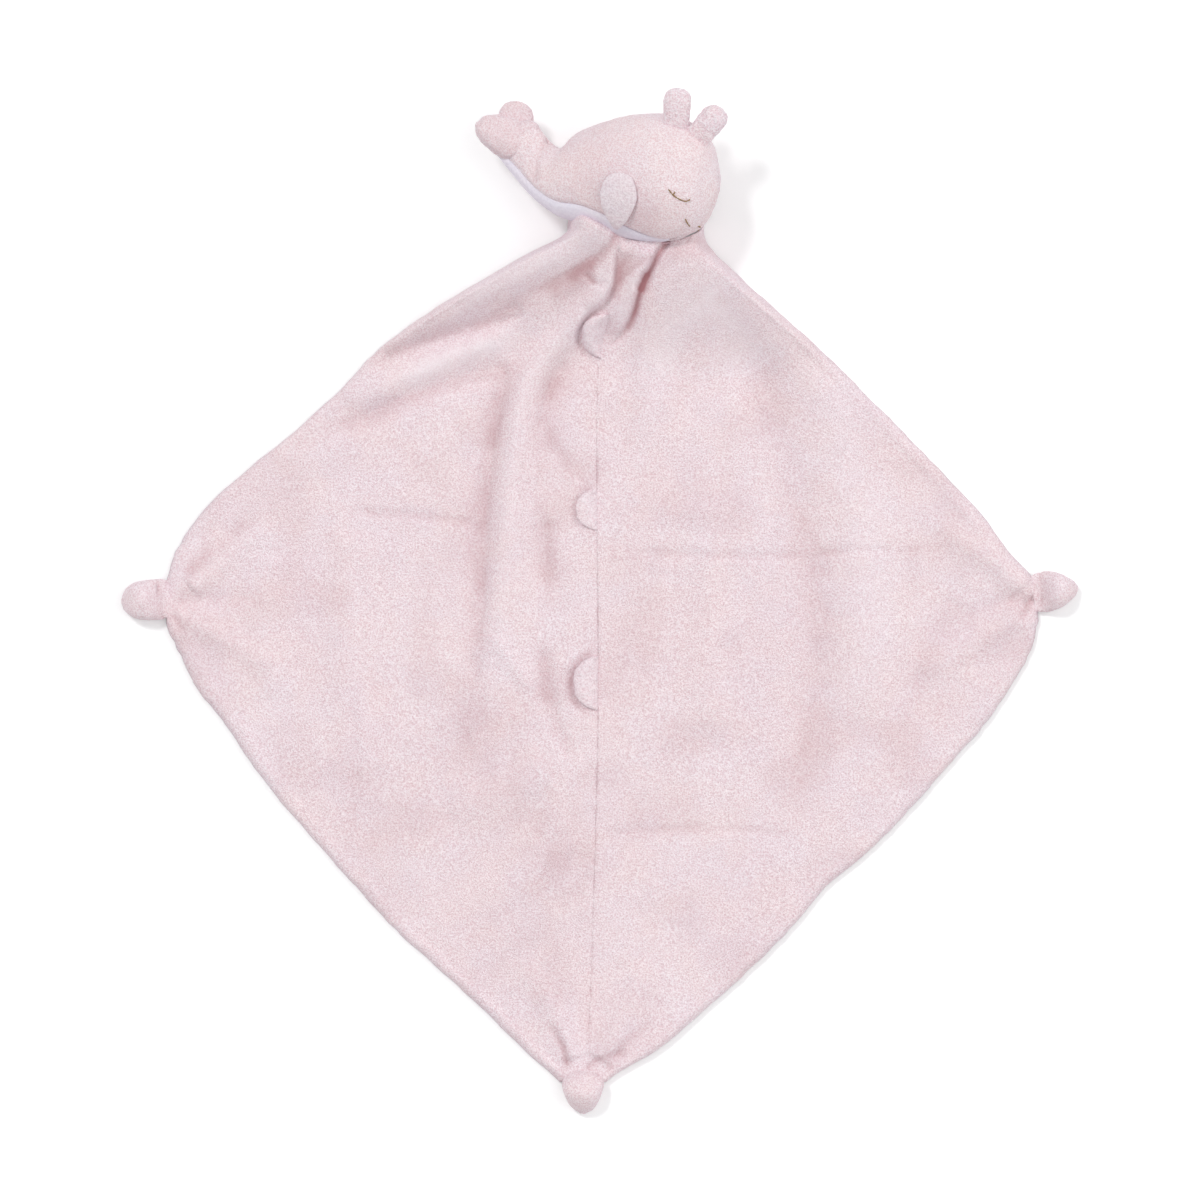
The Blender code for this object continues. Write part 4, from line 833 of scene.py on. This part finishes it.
def seam_tab(name, low, high, reach, thickness):
    """out = reach * sin(turn) * (1 + cos a) / 2; z = cloth + thickness * (1 + sin a) / 2, less at the seam."""
    ends = from_photo([low, high])
    chord = ends[1] - ends[0]
    length = np.linalg.norm(chord)
    along, leftward = chord / length, np.array([-chord[1], chord[0]]) / length
    turn = np.linspace(0.05, np.pi - 0.05, 56)[:, None]
    around = full_turn(44)[None, :]
    rounded = np.sign(np.cos(around)) * np.abs(np.cos(around)) ** 0.75
    ragged = 1 + 0.05 * lumps(np.stack([turn, turn * 0, turn * 0], -1), 0.16, 23)
    out = (reach * ragged + INTO_SEAM) * np.sin(turn) ** 0.9 * (1 + rounded) / 2 - INTO_SEAM
    run = -np.cos(turn) * length / 2 + 0 * around
    flat = ends.mean(0) + run[..., None] * along + out[..., None] * leftward
    base = cloth_height(np.minimum(flat[..., 0], ends[:, 0].max() - INTO_SEAM), flat[..., 1], -1)[0]
    thick = thickness * np.sin(turn) ** 0.5
    sewn = 0.06 + 0.94 * ease((1 + rounded) / 1.1)
    z = base + 0.0002 + thick * sewn * (1 + np.sin(around)) / 2 - 0.0014 * (1 - ease(out / 0.0020 + 0.6))
    pile = lumps(np.stack([flat[..., 0], flat[..., 1], z], -1), 0.0018, 31) * 0.00045
    z = z + pile * (np.sin(around) > 0)
    # Painted light: the tab is lightened towards the tip colour everywhere but along its outer rim.
    edge = np.clip(np.cos(around), 0, 1) ** 8 * 0.25 - 0.25 + 0 * turn
    return limb_piece(name, np.stack([flat[..., 0], flat[..., 1], z], -1), BLANKET_PLUSH, edge)


TABS = {
    "tab_top": ((600, 358), (608, 315), 0.0114, 0.0044),
    "tab_middle": ((597, 530), (597, 489), 0.0108, 0.0026),
    "tab_bottom": ((597, 710), (598, 656), 0.0122, 0.0034),
}
print(len(TABS), "tabs")

# %% Sew the tabs in
for name, values in TABS.items():
    piece = seam_tab("seam_" + name, *values)
    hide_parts(name)
    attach(piece, name)

# %% [markdown]
# ## The knotted corners
# A knot is the corner of both layers tied on itself, which leaves a rounded end beyond a tight crease.
# It is a limb whose rings swell and taper, with one or two wraps pressed into it as creases that wind
# round. Its root starts inside the blanket's corner, so no gap opens when the knot is lifted.

# %% Knots
def read_profile(profile, t):
    """Width and thickness shares at places t along a limb, through a smooth curve."""
    place = np.interp(t, profile[:, 0], np.arange(len(profile)))
    return smooth_through(profile[:, 1:], place).T


ROUND_END = np.array([(0.00, 0.84, 0.16), (0.08, 0.92, 0.24), (0.17, 1.00, 0.42), (0.30, 1.02, 0.70),
    (0.46, 1.00, 0.94), (0.62, 0.95, 1.00), (0.77, 0.83, 0.90), (0.89, 0.62, 0.68), (0.96, 0.40, 0.44),
    (1.00, 0.08, 0.08)])
POINTED_END = np.array([(0.00, 0.84, 0.14), (0.10, 0.92, 0.20), (0.20, 0.98, 0.34), (0.32, 1.00, 0.58),
    (0.46, 0.95, 0.82), (0.58, 0.86, 0.90), (0.72, 0.71, 0.84), (0.84, 0.53, 0.66), (0.94, 0.33, 0.42),
    (1.00, 0.08, 0.10)])
THUMB_END = np.array([(0.00, 0.66, 0.50), (0.08, 0.84, 0.62), (0.18, 0.96, 0.74), (0.30, 1.01, 0.88),
    (0.45, 0.97, 0.98), (0.58, 0.88, 0.98), (0.71, 0.75, 0.86), (0.82, 0.60, 0.70), (0.92, 0.40, 0.48),
    (1.00, 0.08, 0.08)])
KNOT_THICKNESS, KNOT_ROOT, CREASE_WIDTH = 0.0165, 0.0030, 0.030


def corner_knot(name, crease, outward, length, width, profile, wraps, seed):
    """Rings centre + width * cos + thickness * sin, with creases pressed in along winding lines."""
    t = np.sin(np.pi / 2 * np.linspace(0, 1, 70))
    half_width, half_thick = read_profile(profile, t) * np.array([[width], [KNOT_THICKNESS]]) / 2
    direction = np.array([outward[0], outward[1], 0.0])
    across = np.array([-outward[1], outward[0], 0.0])
    turn = full_turn(72)
    start = np.array([*from_photo(crease), 0.0]) - direction * KNOT_ROOT
    centre = start + (t * (length + KNOT_ROOT))[:, None] * direction
    centre[:, 2] = np.maximum(half_thick, 0.0036) + 0.0003
    rings = (centre[:, None] + across * (half_width[:, None] * np.cos(turn))[..., None]
             + UPWARD * (half_thick[:, None] * np.sin(turn))[..., None])
    normal = ring_normals(rings)
    press, tone_and_painted_light = np.zeros(rings.shape[:2]), np.zeros(rings.shape[:2])
    for first, slant, depth in wraps:
        line = first + slant * np.sin(turn[None, :] - 0.6)
        bell = np.exp(-((t[:, None] - line) / CREASE_WIDTH) ** 2)
        bell = bell * np.clip(0.6 + 0.9 * lumps(rings, 0.0050, seed + 2), 0.1, 1.2)
        press += depth * 0.001 * bell
        # Painted shade in the wrapped creases.
        tone_and_painted_light += 0.30 * depth * bell
    pile = lumps(rings, 0.0024, seed) * 0.00015 + lumps(rings, 0.0060, seed + 1) * 0.00040
    rings = rings + normal * (0.0003 + pile - press)[..., None]
    rings[..., 2] = np.maximum(rings[..., 2], 0.0001)
    return limb_piece(name, rings, BLANKET_PLUSH, np.clip(tone_and_painted_light, 0, 0.6))


KNOTS = {
    "corner_knot_left": ((166, 599), (-0.998, -0.06), 0.0220, 0.0198, ROUND_END,
                         [(0.20, 0.05, 1.0), (0.36, -0.10, 0.4)], 41),
    "corner_knot_right": ((1039, 592.5), (0.99, 0.12), 0.0194, 0.0198, POINTED_END, [(0.20, -0.03, 0.7)], 43),
    "corner_knot_bottom": ((583, 1077), (0, -1), 0.0180, 0.0202, THUMB_END, [(0.08, -0.05, 1.2)], 45),
}
print(len(KNOTS), "knots")

# %% Tie the knots
for name, values in KNOTS.items():
    piece = corner_knot("tied_" + name, *values)
    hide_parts(name)
    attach(piece, name)

# %% [markdown]
# ## The whale's skin and filling
# Two pink plush sides and a lavender-white velour belly are sewn round a fibre filling. A pressure
# simulation at a few millimetres was expected to round off the small head and tail and was not tried, so
# the stuffed form is the whale's own surface, with the seams drawn in and the pile uneven on it.


# %% Whale panels
def from_line(places, pixels):
    """Distance of places, seen from above, from a smooth line in the photo."""
    line = soft_line(pixels, 40)
    return np.sqrt(((places[..., None, :2] - line) ** 2).sum(-1).min(-1))


# Centre and spread of the painted shade beside the fin that faces up, where its shadow falls on the side.
FIN_SHADE_CENTRE, FIN_SHADE_SPREAD = from_photo((643, 216)), 0.0105
MIDDLE, MIDDLE_SPREAD = from_photo((596, 0))[0], 0.024
STEM_CREASE = [(553, 141), (546, 146), (540, 156), (536, 168), (535, 181)]
CREASE_SPREAD, CREASE_DEPTH = 0.0018, 0.0010
SEAM_SPREAD, WALL = 0.0016, 0.0016


def whale_panel(name, stations, start, end, columns, look, seam_depths, pile_height, seed):
    """skin + outward * (pile - depth * exp(-(distance from seam / 1.6 mm)^2)), and an inner side below it."""
    share = np.linspace(0, 1, columns)[None, :]
    degrees = start[:, None] + (end - start)[:, None] * share
    station = np.repeat(stations[:, None], columns, axis=1)
    skin, outward = on_whale(station, degrees), whale_outward(station, degrees)
    girth = girth_at(stations).mean(axis=1)
    round_it = np.radians(np.abs(end - start)) * girth
    stem = from_line(skin, STEM_CREASE) / CREASE_SPREAD
    pinch = np.exp(-stem**2) * (outward[..., 2] > 0) * CREASE_DEPTH
    draw = sum(depth * np.exp(-(gap * round_it[:, None] / SEAM_SPREAD) ** 2)
               for depth, gap in zip(seam_depths, (share, 1 - share)))
    full = np.clip(girth / 0.006, 0, 1)[:, None]
    tufts = lumps(skin, 0.0017, seed) * 0.5 + lumps(skin, 0.0030, seed + 1) * 0.3
    pile = (tufts + lumps(skin, 0.0095, seed + 2)) * pile_height
    outer = skin + outward * (0.0002 + pile - pinch - draw * full)[..., None]
    wall = np.minimum(WALL, girth * 0.35)[:, None]
    inner = skin - outward * (wall + pinch + draw * full * 0.7)[..., None]
    # Painted shade along the deeper belly seam.
    tone_and_painted_light = sum(0.10 * (gap * round_it[:, None] < 0.0011) * (depth > 0.0009)
                for depth, gap in zip(seam_depths, (share, 1 - share)))
    middle = (skin[..., 0] - MIDDLE) / MIDDLE_SPREAD
    # Painted shade across the middle of the pink sides.
    shaded = 0.10 * np.exp(-middle**2) * (look is WHALE_PLUSH)
    from_fin_shade = np.linalg.norm(skin[..., :2] - FIN_SHADE_CENTRE, axis=-1)
    # Painted shadow of the fin, darkening the side beside it.
    painted_shade_tint = 0.15 * np.exp(-((from_fin_shade / FIN_SHADE_SPREAD) ** 2)) * (outward[..., 2] > -0.3)
    # The stem crease is darkened with painted shade too.
    tint = tone_and_painted_light + 120 * pinch + shaded + painted_shade_tint
    return skin_piece(name, outer, inner, look, np.clip(tint, 0, 0.8))


print("cheek at", FIN_SHADE_CENTRE.round(4).tolist())

# %% Sew the panels
TAIL_STATION = 13.7
stations = np.concatenate([[0.05, 0.25, 0.6], np.linspace(1.0, TAIL_STATION, 190)])
half = np.interp(stations, np.arange(16), BELLY_HALF_ANGLES)
inset = np.degrees(0.0001 / np.maximum(girth_at(stations).min(axis=1), 0.001))
whale_pieces = []
for name, side in (("whale_side_right", 1), ("whale_side_left", -1)):
    piece = whale_panel("plush_" + name, stations, side * inset, side * (180 - half - inset), 122, WHALE_PLUSH,
                        (0.0004, 0.0009), 0.00034, 51 + side)
    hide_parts(name)
    whale_pieces.append(piece)
rows = (stations >= 4.0) & (stations <= 13.5)
reach = (half - inset)[rows]
belly = whale_panel("velour_whale_belly", stations[rows], 180 - reach, 180 + reach, 72, BELLY_VELOUR,
                    (0.0006, 0.0006), 0.00006, 61)
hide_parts("whale_belly")
whale_pieces.append(belly)


# %% Filling
def whale_filling():
    """The whale's surface 3 mm below the skin, with lumps of fibre."""
    station = np.linspace(1.6, 13.0, 80)[:, None]
    degrees = np.degrees(full_turn(48))[None, :] + 0 * station
    depth = 0.0030 - lumps(on_whale(station, degrees), 0.0070, 71) * 0.0005
    wall = girth_at(station[:, 0]).min(axis=1)[:, None] * 0.5
    return limb_piece("fibre_filling", on_whale(station, degrees, -np.minimum(depth, wall)), FILLING)


filling = whale_filling()
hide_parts("whale_stuffing")
whale_pieces.append(filling)
for piece in whale_pieces:
    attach(piece, "whale")

# %% [markdown]
# ## Fins, water spout and tail
# The fins are thin padded leaves that lie against the sides, of a paler velour. The two lobes of the
# spout and the two of the tail are small stuffed plush limbs. All are rings along a line: a profile
# says how wide and how thick each ring is, and lumps of pile stand on it. A round cap over the end of
# the stem carries the two tail lobes, so that no gap opens when the tail bends.

# %% Limbs
FIN_LEAF = np.array([(0.00, 0.14, 0.40), (0.05, 0.24, 0.55), (0.14, 0.42, 0.75), (0.26, 0.64, 0.90),
    (0.40, 0.84, 1.00), (0.55, 0.98, 1.03), (0.70, 1.01, 1.00), (0.84, 0.87, 0.90), (0.94, 0.58, 0.66),
    (1.00, 0.08, 0.12)])
LOBE = np.array([(0.00, 0.62, 0.78), (0.10, 0.72, 0.86), (0.22, 0.86, 0.95), (0.38, 0.98, 1.02),
    (0.55, 1.02, 1.03), (0.72, 0.94, 0.96), (0.86, 0.74, 0.80), (0.95, 0.47, 0.56), (1.00, 0.08, 0.12)])
CLUB = np.array([(0.00, 0.98, 0.40), (0.12, 1.02, 0.56), (0.26, 1.00, 0.78), (0.42, 0.97, 0.92),
    (0.58, 0.99, 1.02), (0.74, 1.00, 1.00), (0.87, 0.85, 0.86), (0.96, 0.54, 0.56), (1.00, 0.10, 0.10)])


def stuffed_limb(name, line, width, thickness, profile, look, pile_height, seed, dent, painted_shade_tint=0.0):
    """centre + across * width * cos + outward * thickness * sin, raised by the pile and dented at its seam.
    The line holds the centres, the two directions and the share t of the length at each ring."""
    centres, across, outward, t = line
    wide, thick = read_profile(profile, t)
    turn = full_turn(64)[None, :]
    flat = np.sign(np.cos(turn)) * np.abs(np.cos(turn)) ** 0.85
    rings = (centres[:, None] + across[:, None] * (wide[:, None] * flat * width / 2)[..., None]
             + outward[:, None] * (thick[:, None] * np.sin(turn) * thickness / 2)[..., None])
    normal = ring_normals(rings)
    seam = np.exp(-((np.abs(np.cos(turn)) - 1) / 0.02) ** 2)
    pile = (lumps(rings, 0.0018, seed) * 0.6 + lumps(rings, 0.0034, seed + 1) * 0.6) * pile_height
    rings = rings + normal * (pile - dent * seam)[..., None]
    # Painted shade where the limb meets the body, plus an even painted shade from the caller.
    root = np.exp(-(t[:, None] / 0.10) ** 2) * 0.25 + painted_shade_tint + 0 * turn
    return limb_piece(name, rings, look, root)


print("profiles of", len(FIN_LEAF), len(LOBE), "and", len(CLUB), "widths")


# %% A straight line of rings
def straight_frame(root, direction, across, length, count=56):
    """Places and directions along a straight limb."""
    direction = unit(np.array(direction))
    across = unit(np.array(across) - direction * (np.array(across) @ direction))
    t = bunched(count)
    ones = np.ones((count, 1))
    return root + t[:, None] * length * direction, ones * across, ones * np.cross(direction, across), t


print("a straight limb has", len(straight_frame(TILT_POINT, (0, 1, 0), (1, 0, 0), 1.0)[0]), "rings")

# %% Fins
FIN_WIDTH = 0.0188
FINS = {
    "fin_right": (1, 0.0036, 0.0004, [(6.93, 149.5), (6.81, 135.5), (6.69, 121.3), (6.57, 107.3), (6.46, 93.2)]),
    "fin_left": (-1, 0.0026, 0.0, [(7.0, 140), (6.85, 128), (6.7, 116), (6.55, 103), (6.4, 90)]),
}
for name, (side, thickness, lift, places) in FINS.items():
    t = bunched(60)
    path = smooth_through(places, t * (len(places) - 1)) * (1, side)
    skin, outward = on_whale(path[:, 0], path[:, 1]), whale_outward(path[:, 0], path[:, 1])
    across = np.cross(outward, unit(np.gradient(skin, axis=0)))
    centres = skin + outward * (0.0003 + thickness / 2 + lift * ease(t))[:, None]
    piece = stuffed_limb("velour_" + name, (centres, across, outward, t), FIN_WIDTH, thickness, FIN_LEAF,
                         FIN_VELOUR, lift, 81, 0.0004)
    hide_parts(name)
    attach(piece, name)


# %% Spout
SPOUT_WIDTH, SPOUT_THICKNESS, SPOUT_ROOT = 0.0140, 0.0112, 0.0035
SPOUTS = {
    "spout_right": (4.32, 31.5, (0.05, 0.98, 0.12), 0.0220, 0.0010, 85),
    "spout_left": (3.25, 33.0, (0.64, 0.74, 0.14), 0.0232, 0.0022, 87),
}
for name, (station, degrees, direction, length, sink, seed) in SPOUTS.items():
    root = on_whale(np.array(station), np.array(degrees)) - unit(np.array(direction)) * SPOUT_ROOT
    line = straight_frame(root, direction, (0.92, -0.39, 0.0), length)
    line[0][:, 2] -= sink * (1 - line[3]) ** 2
    piece = stuffed_limb("plush_" + name, line, SPOUT_WIDTH, SPOUT_THICKNESS, CLUB, SPOUT_PLUSH,
                         0.00042, seed, 0.0005)
    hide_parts(name)
    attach(piece, name)

# %% Tail
FLUKE = np.array([(0.00, 0.28, 0.40), (0.10, 0.70, 0.76), (0.22, 0.93, 0.95), (0.36, 1.01, 1.01),
    (0.50, 0.95, 0.95), (0.65, 0.83, 0.86), (0.80, 0.68, 0.71), (0.92, 0.46, 0.52), (1.00, 0.08, 0.12)])
TAIL_LOBES = {"tail_fluke_near": ((529, 146), (-0.92, 0.36, 0.13), 0.0288, 0.0224, 0.0162, FLUKE, 91),
              "tail_fluke_far": ((514, 134), (0.14, 0.94, -0.30), 0.0166, 0.0178, 0.0110, LOBE, 93)}
tail_point = joint_point("tail_bend")
spread = np.array([0.70, 0.60, -0.39])
for name, (place, direction, length, width, thickness, profile, seed) in TAIL_LOBES.items():
    root = np.array([*from_photo(place), tail_point[2]])
    line = straight_frame(root, direction, spread, length)
    # The tail lobes are darkened all over with 0.14 of painted shade.
    piece = stuffed_limb("plush_" + name, line, width, thickness, profile, WHALE_PLUSH,
                         0.00045, seed, 0.0004, 0.14)
    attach(piece, "tail_flukes")

# %% Root of the tail
turn = np.linspace(0.04, np.pi - 0.04, 40)[:, None]
around = full_turn(48)[None, :]
stem_end = np.array(TAIL_STATION - 0.1)
girth = girth_at(stem_end)
cap = (smooth_through(FORWARD, stem_end) * (0.0078 * np.cos(turn) + 0 * around)[..., None]
       + smooth_through(TOWARDS_BACK, stem_end) * (0.98 * girth[0] * np.sin(turn) * np.cos(around))[..., None]
       + smooth_through(SIDEWAYS, stem_end) * (0.98 * girth[1] * np.sin(turn) * np.sin(around))[..., None])
# The root of the tail is darkened all over with the same painted shade.
root = limb_piece("plush_tail_root", WHALE_CENTRE + smooth_through(SPINE, stem_end) + cap, WHALE_PLUSH,
                  np.full(cap.shape[:2], 0.14))
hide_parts("tail_flukes")
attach(root, "tail_flukes")

# %% [markdown]
# ## The sleeping face
# The eyes are closed: each is a short curve of tan back stitches with one small lash, and the smile
# under the nose is another. The threads lie on the pile and dip where a stitch goes into the cloth. The
# smile is sunk in the pile on either side of its middle, because the photo shows only a tick of it.

# %% Stitches
EYE_PATH = [(3.86, 103.5), (3.64, 109), (3.35, 113.6), (3.05, 116.2), (2.84, 114.6)]
SMILE_PATH = [(3.1, 140.5), (3.0, 151.5), (2.88, 160), (2.62, 172), (2.42, 180)]
SUNK_PLACE, SUNK_SPREAD = 0.165, 0.125


def stitch_on_whale(name, path, stitches, count=90, radius=0.00034, sunk=0.0):
    """A sewn line at places (station, degrees), dipping into the pile between stitches and where it is
    sunk, at sunk * exp(-((distance from the middle - place) / spread)^4)."""
    at = smooth_through(path, np.linspace(0, len(path) - 1, count))
    t = np.linspace(0, 1, count)
    dip = np.abs(np.sin(np.pi * stitches * t)) ** 0.5
    hidden = np.exp(-((np.abs(t - 0.5) - SUNK_PLACE) / SUNK_SPREAD) ** 4)
    points = on_whale(at[:, 0], at[:, 1], 0.0003 + 0.0005 * dip - sunk * hidden)
    return sewn_thread(name, points, whale_outward(at[:, 0], at[:, 1]), radius, stitches, TAN_THREAD)


print("eye of", len(EYE_PATH), "places and smile of", 2 * len(SMILE_PATH) - 1)

# %% Eyes and smile
eye = np.array(EYE_PATH)
half_smile = np.array(SMILE_PATH, dtype=float)
smile = np.vstack([half_smile, np.column_stack([half_smile[-2::-1, 0], 360 - half_smile[-2::-1, 1]])])
for node, path in (("eye_stitch_right", eye), ("eye_stitch_left", eye * (1, -1))):
    lash = path[1] + np.array([(0.02, 0.0), (-0.02, -1.8), (-0.05, -3.4)]) * (1, np.sign(path[1, 1]))
    stitch = stitch_on_whale("sewn_" + node, path, 5)
    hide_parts(node)
    tick = stitch_on_whale("sewn_lash_" + node[-5:].strip("_"), lash, 1, 24, 0.00030)
    for piece in (stitch, tick):
        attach(piece, "whale")
mouth = stitch_on_whale("sewn_smile", smile, 8, 120, sunk=0.0016)
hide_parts("mouth_stitch")
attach(mouth, "whale")

# %% [markdown]
# ## Sewing it together
# The neck of both front halves is sewn to the belly, and the halves are baked where they lie, while
# the back and the hidden threads go with the blanket. The square was cut about 345 mm a side: a front half is
# half of it, cut along the diagonal.

# %% Bodies and cloth
for piece in (front_left, front_right):
    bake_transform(piece)
for piece in (back, seam_thread, neck_sewing):
    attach(piece, "blanket")

# %% [markdown]
# ## Floor, light and camera
# The floor and the world are white to the camera. The light on the object comes mostly from all round.
# A sun from the upper left throws the hem's narrow shadow to the lower right. Two wide and weaker ones
# come from the right: a high one fills the folds, and a low one brightens the whale's right side. A flat
# cloth then shows about the colour it was given.

# %% Plain levels
AROUND_LIGHT = 0.53
PAPER, FLOOR_GLOW = (0.93, 0.935, 0.935, 1.0), 0.15
SUNS = {
    "upper_left_sun": (0.28, (-0.36, 0.40, 0.84), 10),
    "upper_right_sun": (0.15, (0.40, 0.10, 0.91), 60),
    "low_right_sun": (0.09, (0.84, 0.06, 0.54), 60),
}
print(len(SUNS), "suns")

# %% World
world = bpy.data.worlds.new("soft_studio")
bpy.context.scene.world = world
world.use_nodes = True
tree = world.node_tree
lighting = tree.nodes["Background"]
lighting.inputs["Color"].default_value = (0.985, 0.99, 1.0, 1.0)
lighting.inputs["Strength"].default_value = AROUND_LIGHT
white = tree.nodes.new("ShaderNodeBackground")
white.inputs["Color"].default_value = WHITE
white.inputs["Strength"].default_value = 1.0


def seen_rays(tree):
    """1 for rays from the camera, a glossy surface or a transparent one, otherwise 0."""
    rays = tree.nodes.new("ShaderNodeLightPath")
    total = rays.outputs["Is Camera Ray"]
    for name in ("Is Glossy Ray", "Is Transmission Ray"):
        total = worked_out(tree, "MAXIMUM", total, rays.outputs[name])
    return total


either = tree.nodes.new("ShaderNodeMixShader")
tree.links.new(seen_rays(tree), either.inputs[0])
tree.links.new(lighting.outputs[0], either.inputs[1])
tree.links.new(white.outputs[0], either.inputs[2])
tree.links.new(either.outputs[0], tree.nodes["World Output"].inputs["Surface"])

print("light from all round", AROUND_LIGHT)

# %% Floor
paper, tree, matt = new_material("white_paper")
matt.inputs["Base Color"].default_value = PAPER
matt.inputs["Roughness"].default_value = 1.0
matt.inputs["Specular IOR Level"].default_value = 0.0
matt.inputs["Emission Color"].default_value = WHITE
tree.links.new(worked_out(tree, "MULTIPLY", seen_rays(tree), FLOOR_GLOW), matt.inputs["Emission Strength"])
FLOOR_REACH, FLOOR_LEVEL = 4.0, -0.0001
floor_mesh = bpy.data.meshes.new("floor")
floor_mesh.from_pydata([(FLOOR_REACH * x, FLOOR_REACH * y, FLOOR_LEVEL)
                        for x, y in ((-1, -1), (1, -1), (1, 1), (-1, 1))], [], [(0, 1, 2, 3)])
floor_mesh.materials.append(paper)
floor = in_scene("floor", floor_mesh)

# %% Suns
for name, (share, place, wide) in SUNS.items():
    sun_data = bpy.data.lights.new(name, "SUN")
    sun_data.angle = np.radians(wide)
    up_share = place[2] / np.linalg.norm(place)
    sun_data.energy = share * np.pi / up_share
    sun = in_scene(name, sun_data)
    sun.rotation_euler = (np.arccos(up_share), 0.0, np.arctan2(place[0], -place[1]))
    print(name, "gives", share, "of a level white light")

# %% Camera
HEIGHT, SENSOR, PHOTO_WIDTH = 15.0, 36.0, 1200
camera_data = bpy.data.cameras.new("straight_down")
camera_data.sensor_width = SENSOR
camera_data.lens = SENSOR * HEIGHT / (PHOTO_WIDTH * METRES_PER_PIXEL)
camera = in_scene("straight_down", camera_data)
camera.location = (0.0, 0.0, HEIGHT)
bpy.context.scene.camera = camera
bpy.context.scene.view_settings.view_transform = "Standard"
print("lens", round(camera_data.lens), "mm, so", PHOTO_WIDTH, "pixels are", PHOTO_WIDTH * METRES_PER_PIXEL, "m")
